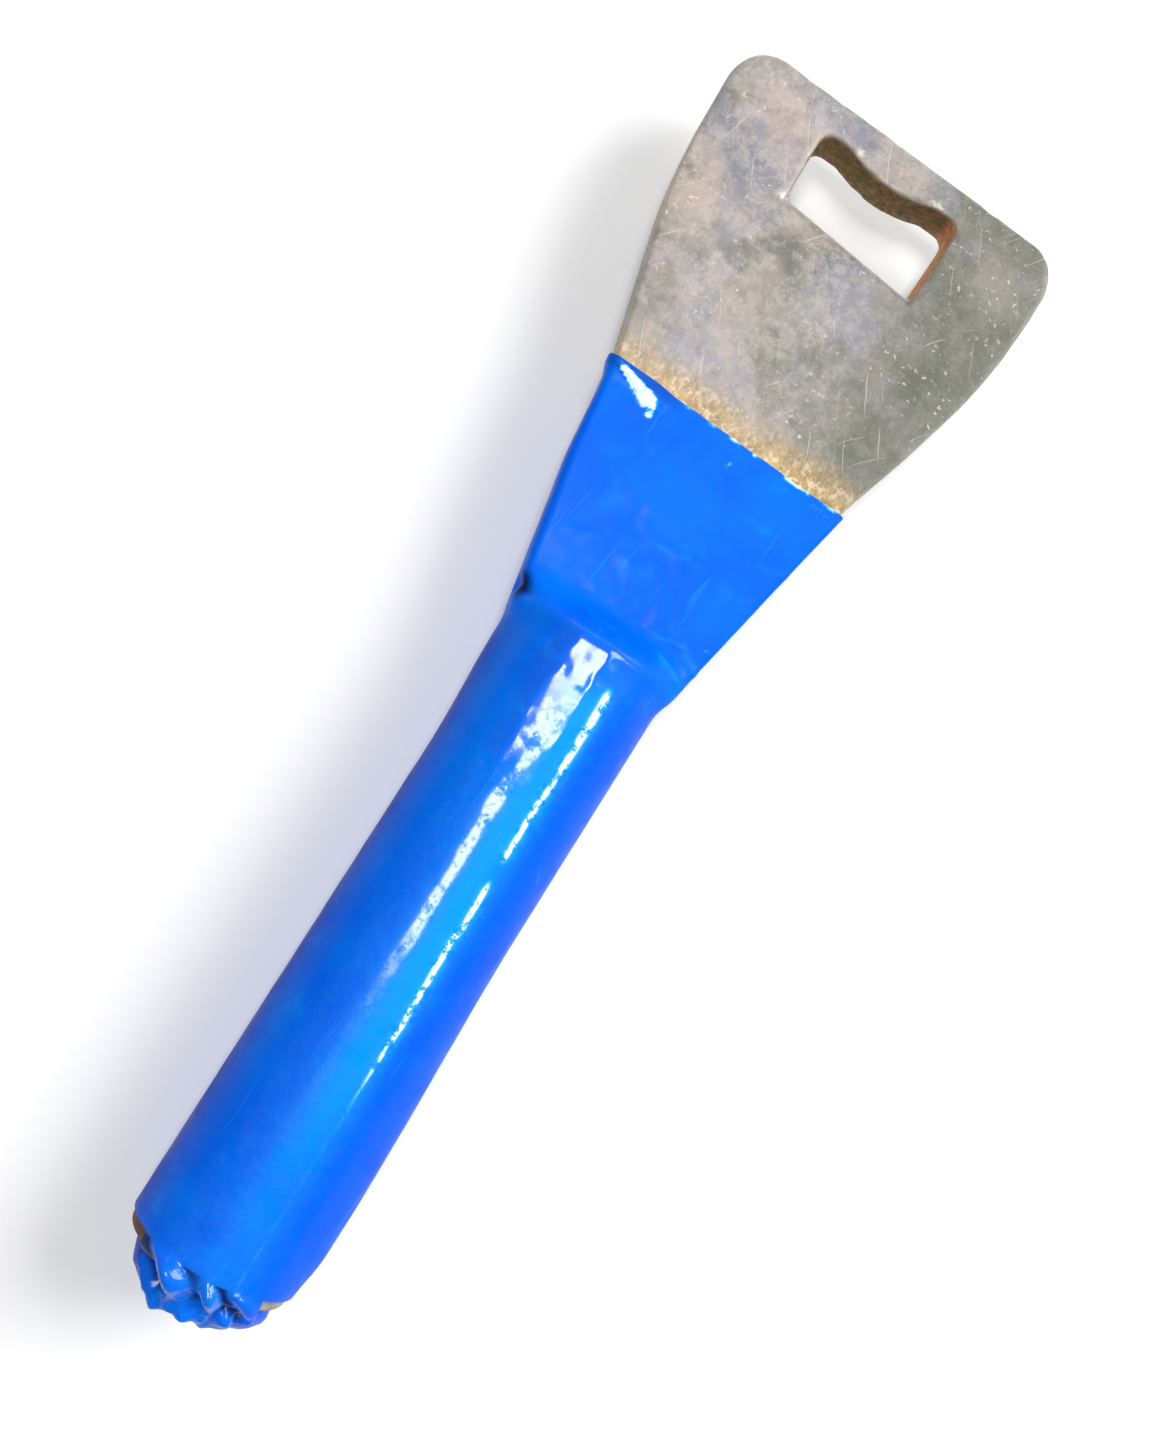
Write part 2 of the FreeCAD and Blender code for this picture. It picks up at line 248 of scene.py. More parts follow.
# %% [markdown]
# ## Head, step 2: rounded corners
# The corners of the real blank are ground round, the left one a little more than the right one,
# and the flare turns gently into the nearly straight sides of the tip. A bevel on the upright edge
# at each corner does both.

# %% Head corners
LEFT_CORNER, RIGHT_CORNER = 7.2 * MM, 6.0 * MM
FLARE_BLEND = 7.0 * MM
SHOULDER_ROUND = 2.5 * MM
SPOT_REACH = 0.3 * MM


def round_upright(piece, spots, radius, segments):
    """Bevel the edges along Z that stand at the given places in plan."""
    def upright(edge):
        first, last = edge.verts[0].co, edge.verts[1].co
        if abs(first.x - last.x) > SAME or abs(first.y - last.y) > SAME:
            return False
        return any(abs(first.x - spot[0]) < SPOT_REACH and abs(first.y - spot[1]) < SPOT_REACH
                   for spot in spots)
    pick(piece, "EDGE", upright)
    bpy.ops.mesh.bevel(offset=radius, segments=segments, affect="EDGES")
    done()


round_upright(head, [(-TIP_HALF, TIP_LEFT_Y)], LEFT_CORNER, 12)
round_upright(head, [(TIP_HALF, TIP_RIGHT_Y)], RIGHT_CORNER, 12)
round_upright(head, [(-FLARE_HALF, FLARE_Y), (FLARE_HALF, FLARE_Y)], FLARE_BLEND, 10)
round_upright(head, [(-SHOULDER_HALF, MOUTH_Y), (SHOULDER_HALF, MOUTH_Y)], SHOULDER_ROUND, 5)
print("head corners rounded:", len(head.data.vertices), "corners")

# %% [markdown]
# ## Head, step 3: the slot
# The slot has a straight foot, two rounded lobes near the tip and a low tooth between them, like
# the lip of a bottle opener. It is easiest to model the hole itself as a solid and to take it out
# of the blank with a Boolean.

# %% Slot
SLOT_LEFT, SLOT_RIGHT = -12.6 * MM, 13.0 * MM
SLOT_FOOT_LEFT, SLOT_FOOT_RIGHT = (-12.2 * MM, 129.0 * MM), (12.6 * MM, 126.7 * MM)
SLOT_TIP_Y = 141.3 * MM
TOOTH_HALF, TOOTH_RISE = 8.0 * MM, 1.6 * MM
LOBE_ROUND, FOOT_ROUND = 1.9 * MM, 1.2 * MM
CUTTER_HALF = 2.0 * HALF_PLATE
TOOTH_CUTS = 24

bpy.ops.mesh.primitive_cube_add(size=1.0, location=(0, 0, 0))
cutter = bpy.context.object
cutter.name = "slot_cutter"
cutter.dimensions = (1, 1, 2 * CUTTER_HALF)
settle(cutter)
places = {(-1, -1): SLOT_FOOT_LEFT, (1, -1): SLOT_FOOT_RIGHT,
          (-1, 1): (SLOT_LEFT, SLOT_TIP_Y), (1, 1): (SLOT_RIGHT, SLOT_TIP_Y)}
for vert in cutter.data.vertices:
    side = (1 if vert.co.x > 0 else -1, 1 if vert.co.y > 0 else -1)
    vert.co.x, vert.co.y = places[side]
for cut in [TOOTH_HALF * (2 * index / TOOTH_CUTS - 1) for index in range(TOOTH_CUTS + 1)]:
    pick(cutter, "FACE", lambda face: True)
    bpy.ops.mesh.bisect(plane_co=(cut, 0, 0), plane_no=(1, 0, 0))
    done()
for vert in cutter.data.vertices:
    if vert.co.y > SLOT_TIP_Y - CORNER_REACH and abs(vert.co.x) < TOOTH_HALF:
        vert.co.y -= TOOTH_RISE * (1 - (vert.co.x / TOOTH_HALF) ** 2)
round_upright(cutter, [(SLOT_LEFT, SLOT_TIP_Y), (SLOT_RIGHT, SLOT_TIP_Y)], LOBE_ROUND, 8)
round_upright(cutter, [SLOT_FOOT_LEFT, SLOT_FOOT_RIGHT], FOOT_ROUND, 5)
finish_with(head, "slot", "BOOLEAN", operation="DIFFERENCE", object=cutter, solver="EXACT")
bpy.data.objects.remove(cutter, do_unlink=True)
print("slot cut:", len(head.data.vertices), "corners")

# %% [markdown]
# ## Head, step 4: soft worn edges
# Years of use take the sharpness off every edge. A bevel rounds them all by about half a
# millimetre. A voxel remesh then gives the steel an even skin of small faces, which can carry the
# slight waviness and the dents that a flat extruded plate lacks. It also joins on the tang, the
# plain tongue that runs back into the tube.

# %% Head skin
EDGE_ROUND = 0.6 * MM
SKIN = 0.42 * MM
TANG_HALF = 9.1 * MM

finish_with(head, "edges", "BEVEL", width=EDGE_ROUND, segments=3, limit_method="ANGLE",
            angle_limit=math.radians(35))
tang_length = MOUTH_Y - head_low.y
bpy.ops.mesh.primitive_cube_add(size=1.0, location=(0, MOUTH_Y - tang_length / 2 + MM, 0))
tang = bpy.context.object
tang.dimensions = (2 * TANG_HALF, tang_length + 2 * MM, 2 * HALF_PLATE)
settle(tang)
finish_with(tang, "edges", "BEVEL", width=EDGE_ROUND, segments=2)
only(head)
tang.select_set(True)
bpy.ops.object.join()
finish_with(head, "skin", "REMESH", mode="VOXEL", voxel_size=SKIN)
finish_with(head, "soften", "SMOOTH", factor=0.5, iterations=4)
print("head skin:", len(head.data.polygons), "faces")

# %% [markdown]
# ## Head, step 5: wear
# The faces are slightly wavy, the edges have small nicks, the foot of the slot is rubbed to a
# slope, and a burr stands up at one end of the tooth. The right flank and the tip also stand out a
# little beyond the straight blank. These are small moves of the corners, made by formula as a
# sculptor would make them with a brush. The same loop notes where the bright edge and the stained
# slot walls are, for the steel's paint to read.

# %% Head wear
WAVE, WAVE_SIZE = 0.05 * MM, 14 * MM
NICK, NICK_SIZE = 0.22 * MM, 2.6 * MM
FOOT_SLOPE_WIDTH, FOOT_SLOPE_DROP = 1.1 * MM, 0.75 * MM
FOOT_MIDDLE, FOOT_HALF, FOOT_START = 0.2 * MM, 12.6 * MM, -0.3 * MM
BURR_AT, BURR_RISE, BURR_SIZE = (8.3 * MM, 140.6 * MM), 0.3 * MM, 0.9 * MM
FLANK_PUSH, FLANK_ACROSS, FLANK_ALONG = 0.6 * MM, (14 * MM, 26 * MM), (90 * MM, 106 * MM)
FLANK_EASE, FLANK_EASE_ALONG = 0.6, (134 * MM, 143 * MM)
TIP_PUSH, TIP_ALONG = 0.4 * MM, (142 * MM, 145 * MM)


def slot_foot_y(across):
    """How far along the tool the slot's foot edge is, at a place across it."""
    share = (across - SLOT_FOOT_LEFT[0]) / (SLOT_FOOT_RIGHT[0] - SLOT_FOOT_LEFT[0])
    return SLOT_FOOT_LEFT[1] + share * (SLOT_FOOT_RIGHT[1] - SLOT_FOOT_LEFT[1])


def near_slot(place):
    return (SLOT_LEFT - 2 * MM < place.x < SLOT_RIGHT + 2 * MM
            and slot_foot_y(place.x) - 2 * MM < place.y < SLOT_TIP_Y + 1.2 * MM)


def wear_head(piece):
    edge_mask = piece.data.attributes.new("edge_wear", "FLOAT", "POINT")
    wall_mask = piece.data.attributes.new("slot_wall", "FLOAT", "POINT")
    normals = [vert.normal.copy() for vert in piece.data.vertices]
    for vert, normal in zip(piece.data.vertices, normals):
        place = vert.co.copy()
        lean = abs(normal.z)
        rounded = hump(lean, (0.05, 0.4), (0.85, 0.995))
        wall = (1 - smoothstep(0.2, 0.6, lean)) if near_slot(place) else 0.0
        edge_mask.data[vert.index].value = rounded
        wall_mask.data[vert.index].value = wall
        wave = noise.noise(place / WAVE_SIZE) + 0.4 * noise.noise(place / (0.35 * WAVE_SIZE))
        nick = max(0.0, noise.noise(place / NICK_SIZE + Vector((7.1, 3.3, 1.9))) - 0.12)
        move = WAVE * wave - NICK * rounded * nick * 2.0
        vert.co = place + normal * move
        right = smoothstep(*FLANK_ACROSS, place.x) * smoothstep(*FLANK_ALONG, place.y)
        right *= 1 - FLANK_EASE * smoothstep(*FLANK_EASE_ALONG, place.y)
        vert.co.x += FLANK_PUSH * right
        vert.co.y += TIP_PUSH * smoothstep(*TIP_ALONG, place.y)
        if place.z > 0 and abs(place.x - FOOT_MIDDLE) < FOOT_HALF:
            behind = slot_foot_y(place.x) - place.y
            if FOOT_START < behind < FOOT_SLOPE_WIDTH:
                slope = (1 - max(behind, 0) / FOOT_SLOPE_WIDTH) * FOOT_SLOPE_DROP
                vert.co.z = min(vert.co.z, HALF_PLATE - slope)
        if place.z > 0:
            reach = math.hypot(place.x - BURR_AT[0], place.y - BURR_AT[1])
            vert.co.z += BURR_RISE * math.exp(-(reach / BURR_SIZE) ** 2) * lean


wear_head(head)
only(head)
bpy.ops.object.shade_smooth()
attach(head, "root")
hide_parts("head_plate")
print("worn head:", [round(side / MM, 1) for side in head.dimensions], "mm")

# %% [markdown]
# ## Sleeve, step 1: the shape of shrunk film
# The sleeve is a lay-flat tube of film, slipped on and shrunk with heat. It is round on the
# handle, drops over the weld as a smooth ramp and lies flat on the plate. A grid rolled into a tube
# follows that best: each row is one section across the tool, and each section is a blend of the
# round handle and the flat plate. In two places the film is slack and stands off sideways.

# %% Sleeve sections
FILM = film_high.z - tube_high.z
ROUND_HALF = tube_high.z + FILM
FLAT_HALF = HALF_PLATE + FILM
FLAT_CORNER = 0.9 * MM
SPREAD_FROM, SPREAD_TO = 48.5 * MM, 54.0 * MM
DROP_FROM, DROP_TO = 53.4 * MM, 60.6 * MM
COLUMNS = 200
CREASE_TURN = math.asin(4.3 * MM / ROUND_HALF)
COLUMN_CROWD = 0.62
SHOULDER_Y = film_low.y
LIP_Y = film_high.y
# where the film stands off sideways: how far, its range along the tool, its range round it
NECK_SLACK, NECK_RISE, NECK_FALL = 0.85 * MM, (30 * MM, 50 * MM), (76 * MM, 91 * MM)
GRIP_SLACK, GRIP_RISE, GRIP_FALL = 1.05 * MM, (-50 * MM, -41 * MM), (-34 * MM, 12 * MM)
LEFT_DEGREES, RIGHT_DEGREES = ((50, 85), (95, 130)), ((48, 82), (98, 132))
# a step between rows, and the place along the tool up to which it is used
ROW_STEPS = [(1.0 * MM, 46 * MM), (0.42 * MM, 64 * MM), (0.75 * MM, LIP_Y - 6 * MM), (0.35 * MM, LIP_Y)]


def column_turn(share):
    """Turn of a column: columns stand closer together along the two creases."""
    turn = 2 * math.pi * share
    turn -= 0.5 * COLUMN_CROWD * math.sin(2 * (turn - CREASE_TURN))
    return (turn + math.pi) % (2 * math.pi) - math.pi


def plate_half(along):
    """Half the width of the head where the film covers it."""
    share = (along - MOUTH_Y) / (WAIST_Y - MOUTH_Y)
    return SHOULDER_HALF + share * (WAIST_HALF - SHOULDER_HALF) + FILM


def round_point(turn):
    return ROUND_HALF * math.sin(turn), ROUND_HALF * math.cos(turn)


def flat_point(turn, half):
    """The same share of the way round a flat section with small round corners."""
    quarter = math.pi / 2
    side = 1 if math.sin(turn) >= 0 else -1
    over = 1 if math.cos(turn) >= 0 else -1
    within = abs(turn) if over > 0 else math.pi - abs(turn)
    top = half - FLAT_CORNER
    bend = FLAT_CORNER * quarter
    edge = FLAT_HALF - FLAT_CORNER
    walked = within / quarter * (top + bend + edge)
    if walked < top:
        return side * walked, over * FLAT_HALF
    if walked < top + bend:
        swing = (walked - top) / FLAT_CORNER
        return (side * (top + FLAT_CORNER * math.sin(swing)),
                over * (edge + FLAT_CORNER * math.cos(swing)))
    return side * half, over * (top + bend + edge - walked)


def slack(along, turn):
    """How far the film stands off sideways: left of the neck, and low on the right of the grip."""
    degrees = math.degrees(turn)
    neck = hump(along, NECK_RISE, NECK_FALL)
    grip = hump(along, GRIP_RISE, GRIP_FALL)
    left = hump(-degrees, *LEFT_DEGREES)
    right = hump(degrees, *RIGHT_DEGREES)
    return GRIP_SLACK * grip * right - NECK_SLACK * neck * left


def film_point(along, turn):
    """Where the smooth film lies, at a place along the tool and a turn round it from the top."""
    spread = smoothstep(SPREAD_FROM, SPREAD_TO, along)
    drop = smoothstep(DROP_FROM, DROP_TO, along)
    round_x, round_z = round_point(turn)
    flat_x, flat_z = flat_point(turn, plate_half(max(along, SPREAD_FROM)))
    across = round_x + (flat_x - round_x) * spread + slack(along, turn)
    up = round_z + (flat_z - round_z) * drop
    return Vector((across, along, up))


def film_rows():
    """Places along the tool for the rows: close together on the ramp and at the lip."""
    rows = []
    along = SHOULDER_Y
    while along < LIP_Y - 0.05 * MM:
        rows.append(along)
        along += next(step for step, until in ROW_STEPS if along < until)
    rows.append(LIP_Y)
    return rows


rows = film_rows()
print("sleeve rows:", len(rows), "columns:", COLUMNS)

# %% [markdown]
# ## Sleeve, step 2: the gathered end
# At the rear the film was left long, pushed together and tucked into the open tube. It lies over
# the rim above and below as two crumpled flaps, and the bare rim shows at both sides. The same grid
# goes on past the shoulder for this: each row is a ring that follows a path over the rim, out
# into a bulge and back into the bore, where the last ring closes to a point. Listed folds, each a
# line with a height and a width, then push that path in and out.

# %% Gathered end
# the path over the rim: how far the film has walked, its radius, and how far past the shoulder
OVER_RIM = [
    (0.0, 13.20, 0.0), (1.2, 13.15, 1.2), (2.3, 12.85, 2.2), (3.2, 12.2, 2.85), (4.6, 11.3, 3.8),
    (6.4, 10.3, 5.3), (8.4, 9.0, 7.0), (10.4, 7.0, 8.2), (12.2, 5.0, 8.0), (14.0, 3.4, 6.4),
    (16.0, 2.0, 4.6), (18.0, 0.0, 3.6),
]
# the same walk at the sides, where the film stays inside the bore
IN_BORE = [
    (0.0, 9.6, -3.0), (1.2, 9.6, -2.2), (2.3, 9.7, -1.2), (3.2, 9.75, -0.4), (4.6, 9.8, 1.6),
    (6.4, 10.2, 4.0), (8.4, 9.4, 6.2), (10.4, 7.2, 7.9), (12.2, 5.0, 7.9), (14.0, 3.4, 6.4),
    (16.0, 2.0, 4.6), (18.0, 0.0, 3.6),
]
WALK_END = OVER_RIM[-1][0] * MM
END_ROWS = 46
FLAP_RIGHT, FLAP_LEFT = 42.0, -50.0
FLAP_BACK_RIGHT, FLAP_BACK_LEFT = 128.0, -132.0
SIDE_BLEND = 7.0
# a fold: its line as (degrees round from the top, mm walked) points, its height and its width in mm
FOLDS = [
    ([(-62, -0.9), (-26, -0.6), (-13, 0.1), (-3, 1.4), (2, 4.8)], -1.0, 1.5),
    ([(-36, 0.4), (-25, 1.6), (-18, 2.8), (-18, 6.0), (-26, 8.4)], 1.35, 1.7),
    ([(-20, 1.4), (-13, 3.0), (-8, 5.0), (2, 7.4)], 0.9, 1.3),
    ([(-50, 1.6), (-40, 2.8), (-33, 4.6), (-27, 6.6)], -2.6, 1.6),
    ([(-60, 3.4), (-47, 5.6), (-40, 7.6), (-29, 9.2)], 1.0, 1.5),
    ([(-22, 9.0), (-11, 8.0), (5, 7.8)], 0.8, 1.1),
    ([(7, 3.0), (6, 1.2)], 0.9, 1.7),
    ([(11, 2.2), (17, 5.0), (20, 7.6), (30, 11.0)], 0.8, 1.2),
    ([(11, 0.2), (20, 2.0), (28, 3.4), (38, 4.6), (48, 7.5)], -1.7, 0.95),
    ([(29, 3.4), (22, 4.8), (24, 8.5)], -1.1, 0.8),
    ([(24, 0.6), (33, 1.7), (40, 2.4)], 0.8, 1.6),
    ([(34, 5.8), (46, 6.6), (66, 7.4)], 1.1, 1.7),
    ([(72, 6.0), (60, 9.0), (40, 12.0)], -1.2, 1.3),
    ([(92, 5.4), (84, 8.6), (64, 12.0)], 1.0, 1.5),
    ([(-78, 5.2), (-70, 8.0), (-52, 11.5)], -1.2, 1.3),
    ([(-98, 5.4), (-92, 8.6), (-80, 12.5)], 0.9, 1.5),
]
UNROLL = math.radians(1) * 11.0  # one degree round the film, in mm, when it is unrolled
FOLD_FLANK, FOLD_END = 1.7, 2.2  # how steep a fold's sides are, and how many widths it reaches
# the plain pleats on the unseen side: turn and width of each in degrees
PLEATS_BELOW = [(118, 9), (136, 6), (153, 10), (171, 7), (190, 9), (209, 6), (226, 10), (246, 8)]
PLEAT_RISE, PLEAT_SINK, PLEAT_SWIRL = 1.2, 0.5, 1.6
CRUMPLE, RIPPLE = 0.26, 0.08
ROOM_ON_RIM, ROOM_PAST_RIM = 0.15, 2.6
BULGE_WIDER, BULGE_LEAN = 0.07, 0.35 * MM


def smooth_path(points, walked):
    """Radius and reach of a path at one walked length, smooth through all its points."""
    index = 1
    while index < len(points) - 2 and points[index][0] * MM < walked:
        index += 1
    first, last = points[index - 1], points[index]
    before = points[max(index - 2, 0)]
    after = points[min(index + 1, len(points) - 1)]
    if points[index][0] * MM < walked:
        before, first, last, after = first, last, after, after
    span = (last[0] - first[0]) * MM
    share = min(max((walked - first[0] * MM) / span, 0.0), 1.0)
    values = []
    for place in (1, 2):
        slope_in = (last[place] - before[place]) / max(last[0] - before[0], 0.01)
        slope_out = (after[place] - first[place]) / max(after[0] - first[0], 0.01)
        length = last[0] - first[0]
        cube, square = share ** 3, share ** 2
        value = (first[place] * (2 * cube - 3 * square + 1) + last[place] * (3 * square - 2 * cube)
                 + slope_in * length * (cube - 2 * square + share) + slope_out * length * (cube - square))
        values.append(value * MM)
    return values


def side_share(degrees):
    """1 where the bare rim shows at the sides, 0 where a flap lies over it."""
    right = hump(degrees, (FLAP_RIGHT, FLAP_RIGHT + SIDE_BLEND),
                 (FLAP_BACK_RIGHT - SIDE_BLEND, FLAP_BACK_RIGHT))
    left = hump(degrees, (FLAP_BACK_LEFT, FLAP_BACK_LEFT + SIDE_BLEND),
                (FLAP_LEFT - SIDE_BLEND, FLAP_LEFT))
    return max(right, left)


def line_distance(across, along, line):
    """Distance in mm from a spot on the unrolled film to the nearest place of a fold's line."""
    best = 1e9
    for (turn0, walk0), (turn1, walk1) in zip(line, line[1:]):
        x0, x1 = turn0 * UNROLL, turn1 * UNROLL
        run_x, run_y = x1 - x0, walk1 - walk0
        share = ((across - x0) * run_x + (along - walk0) * run_y) / (run_x ** 2 + run_y ** 2)
        share = min(max(share, 0.0), 1.0)
        best = min(best, math.hypot(across - x0 - share * run_x, along - walk0 - share * run_y))
    return best


def fold_height(degrees, walked_mm):
    """All folds at one spot of the gathered film, in mm: listed ones above, pleats below."""
    height = 0.0
    across = degrees * UNROLL
    for line, rise, width in FOLDS:
        reach = line_distance(across, walked_mm, line) / width
        if reach < FOLD_END:
            height += rise * math.exp(-reach ** FOLD_FLANK)
    below = smoothstep(100, 125, abs(degrees))
    if below > 0:
        swirl = (degrees if degrees > 0 else degrees + 360) + PLEAT_SWIRL * walked_mm
        for middle, wide in PLEATS_BELOW:
            height += below * PLEAT_RISE * math.exp(-abs((swirl - middle) / wide * 1.3) ** 1.5)
        height -= below * PLEAT_SINK
    spot = Vector((math.sin(math.radians(degrees)), math.cos(math.radians(degrees)), walked_mm / 9.0))
    crumple = 1 - 2.4 * abs(noise.noise(spot * 4.6 + Vector((3.1, 0.4, 7.7))))
    small = noise.noise(spot * 9.5 + Vector((1.7, 5.2, 0.3)))
    height += (CRUMPLE * (crumple - 0.45) + RIPPLE * small) * smoothstep(0.8, 5.0, walked_mm)
    return height * (1 - 0.35 * smoothstep(7.5, 10.0, walked_mm))


def end_point(walked, turn):
    """Where the gathered film lies: past the shoulder, at a turn round from the top."""
    degrees = math.degrees(turn)
    side = side_share(degrees)
    over, past = smooth_path(OVER_RIM, walked)
    step = 0.05 * MM
    over_next, past_next = smooth_path(OVER_RIM, min(walked + step, WALK_END))
    bore, deep = smooth_path(IN_BORE, walked)
    radius = over + (bore - over) * side
    reach = past + (deep - past) * side
    lean = Vector((over_next - over, past_next - past))
    if lean.length < 1e-9:
        lean = Vector((-1, 0))
    lean.normalize()
    walked_mm = walked / MM
    rise = fold_height(degrees, walked_mm) * MM
    # over the rim the film can't go inwards, the steel is there
    room = (ROOM_ON_RIM + ROOM_PAST_RIM * smoothstep(2.4, 6.5, walked_mm)) * MM
    rise = max(rise, -room)
    rise *= hump(walked_mm, (-1.5, 1.0), (14.0, 17.5))
    radius += rise * lean.y
    radius *= 1 + BULGE_WIDER * smoothstep(3.0, 7.0, walked_mm) * math.sin(turn)
    reach -= rise * lean.x
    # the bulge reaches further back on the left
    bulge = hump(walked_mm, (4.5, 8.5), (13.0, 17.5))
    reach -= BULGE_LEAN * bulge * math.sin(turn)
    return Vector((radius * math.sin(turn), SHOULDER_Y - reach, radius * math.cos(turn)))


print("gathered end:", END_ROWS, "rings,", len(FOLDS), "folds above,", len(PLEATS_BELOW), "pleats below")

# %% [markdown]
# ## Sleeve, step 3: creases, wrinkles and the lip
# The film kept the two long creases of the flat tube that it came as, one near the top of the
# handle and one opposite. There is a small blister on the upper crease, a few faint wrinkles
# where the film changes from flat to round, a pucker behind the left end of the cut edge, and that
# end lifts a little. Each is a small bump, added along the film's own normal.
#
# The same formulas also give a painted highlight mark, nearly white, on creases, wrinkles, pimples,
# the pucker and the cut edge, and a painted shade mark, deep blue, at the lifted lip and the pinched
# notch, for the paint to read.

# %% Sleeve relief
CREASE_RISE, CREASE_WIDTH = 0.24 * MM, 0.30 * MM
CREASE_GAP_Y, CREASE_GAP = 18.5 * MM, 2.2 * MM
BLISTER = (3.6 * MM, 20.5 * MM, 0.35 * MM, 0.9 * MM)
LIP_LIFT, LIP_REACH = 0.55 * MM, 3.2 * MM
LIP_SLANT = 0.030
# how strongly each thing marks the film: painted highlight on a crease's line and beside it, on
# wrinkles of the flat part and of the ramp, on pimples, the pucker and the cut edge; painted shade
# on the lifted lip
PALE_WIDTH, PALE_HALO, MOST_PALE = 0.36 * MM, 0.28, 3.0
WRINKLE_PALE, RAMP_PALE, RAMP_END = 1.2, 0.6, 64 * MM
PIMPLE_PALE, PUCKER_PALE, EDGE_PALE, LIP_SHADE = 0.7, 2.4, 0.75, 0.35
PUCKER, PUCKER_RISE = (-20.0, 91.9, -12.5, 89.2), 0.28 * MM
NOTCH, NOTCH_SIZE = (-14.9, 56.2), (1.7, 2.3)
LEVEL_TURN = math.radians(-5.5)
LEVEL_HALF, LEVEL_FADE, LEVEL_RAGGED = 2.9 * MM, 3.2 * MM, 0.9 * MM
BROAD_WAVE, BROAD_SIZE = 0.05 * MM, 5 * MM
FINE_WAVE, NEAR_WAVE, FINE_SIZE = 0.022 * MM, 0.065 * MM, 2.1 * MM
# the range along the tool over which something comes in or fades out
CREASE_ENDS, PALE_ENDS = (44 * MM, 52 * MM), (47 * MM, 50 * MM)
LEVEL_RISE, LEVEL_FALL = (26 * MM, 42 * MM), (53 * MM, 57 * MM)
# a wrinkle: across and along at one end, across and along at the other, height, width
WRINKLES = [
    (-13.1, 67.1, -8.3, 68.4, 0.10, 0.45),
    (-1.0, 72.2, 6.2, 73.2, 0.13, 0.45),
    (12.5, 77.8, 18.1, 79.2, 0.10, 0.45),
    (5.5, 60.6, 10.5, 61.4, 0.22, 0.60),
    (10.5, 61.4, 14.6, 58.9, 0.22, 0.60),
    (7.5, 58.6, 12.8, 56.4, 0.25, 0.60),
    (-17.5, 57.4, -12.8, 55.4, -0.7, 1.1),
    (16.0, 91.2, 19.0, 90.8, 0.20, 0.35),
]
# a pimple: across, along, height, width
PIMPLES = [(2.1, 88.9, 0.20, 0.45), (14.3, 62.8, 0.15, 0.4)]


def beside_line(across, along, line):
    """How far along a straight line a spot is, as a share of it, and how far beside it."""
    x0, y0, x1, y1 = [value * MM for value in line]
    run_x, run_y = x1 - x0, y1 - y0
    length = math.hypot(run_x, run_y)
    share = ((across - x0) * run_x + (along - y0) * run_y) / length ** 2
    return share, ((across - x0) * run_y - (along - y0) * run_x) / length


def ridge(across, along, wrinkle):
    """Height of one straight wrinkle at a place on the film, tapering at both ends."""
    share, off = beside_line(across, along, wrinkle[:4])
    height, width = [value * MM for value in wrinkle[4:]]
    if not -0.3 < share < 1.3:
        return 0.0
    return height * hump(share, (-0.3, 0.2), (0.8, 1.3)) * math.exp(-(off / width) ** 2)


def crease_offset(along, turn, middle):
    """How far round the film a spot is from a crease, whose line wanders a little."""
    off = (turn - middle + math.pi) % (2 * math.pi) - math.pi
    wander = 0.30 * noise.noise(Vector((middle, along / (6 * MM), 4.2)))
    wander += 0.16 * noise.noise(Vector((middle, along / (1.7 * MM), 8.2)))
    return off * ROUND_HALF + wander * MM


def crease_gap(along):
    """1 along a crease, 0 at the blister, where it is broken off."""
    return 1 - math.exp(-((along - CREASE_GAP_Y) / CREASE_GAP) ** 4)


def crease(along, turn):
    """Height of the two long creases of the lay-flat tube."""
    fade = 1 - smoothstep(*CREASE_ENDS, along)
    rise = 0.0
    for middle, strength in ((CREASE_TURN, 1.0), (CREASE_TURN - math.pi, 0.8)):
        off = crease_offset(along, turn, middle)
        rise += strength * math.exp(-(off / CREASE_WIDTH) ** 2)
    breaks = 0.72 + 0.5 * noise.noise(Vector((along / (2.4 * MM), 0.7, 0)))
    return CREASE_RISE * rise * fade * breaks * crease_gap(along)


def crease_highlight(along, turn):
    """Painted highlight along the creases: 1 on the line, 0 beside it."""
    line = 0.0
    for middle in (CREASE_TURN, CREASE_TURN - math.pi):
        off = crease_offset(along, turn, middle)
        wider = 0.55 + 0.45 * smoothstep(-20 * MM, 0, along)
        wider += 0.55 * smoothstep(30 * MM, 46 * MM, along)
        line += math.exp(-(off / (PALE_WIDTH * wider)) ** 2)
        line += PALE_HALO * math.exp(-(off / (4 * PALE_WIDTH)) ** 2)
    bright = 0.12 + 0.88 * smoothstep(-24 * MM, -6 * MM, along)
    return min(line, 1.0) * bright * crease_gap(along) * (1 - smoothstep(*PALE_ENDS, along))


def painted_highlight_marks(place, along, turn):
    """Every painted highlight on the film: along creases, wrinkles and pimples, at the cut edge and on a
    pucker.
    """
    mark = crease_highlight(along, turn)
    if abs(turn) < math.pi / 2 and along > 50 * MM:
        for wrinkle in WRINKLES:
            share = WRINKLE_PALE if along > RAMP_END else RAMP_PALE
            mark += share * max(ridge(place.x, along, wrinkle), 0.0) / MM
        for across, up, rise, size in PIMPLES:
            reach = math.hypot(place.x - across * MM, along - up * MM)
            mark += PIMPLE_PALE * math.exp(-(reach / (0.6 * size * MM)) ** 2)
        mark += PUCKER_PALE * pucker(place.x, along)
    edge = smoothstep(LIP_Y - 0.7 * MM, LIP_Y - 0.1 * MM, along)
    patchy = smoothstep(-0.15, 0.25, noise.noise(Vector((place.x / (2.2 * MM), turn, 0))))
    right = smoothstep(-11 * MM, -6 * MM, place.x)
    mark += EDGE_PALE * edge * patchy * right
    return min(mark, MOST_PALE)


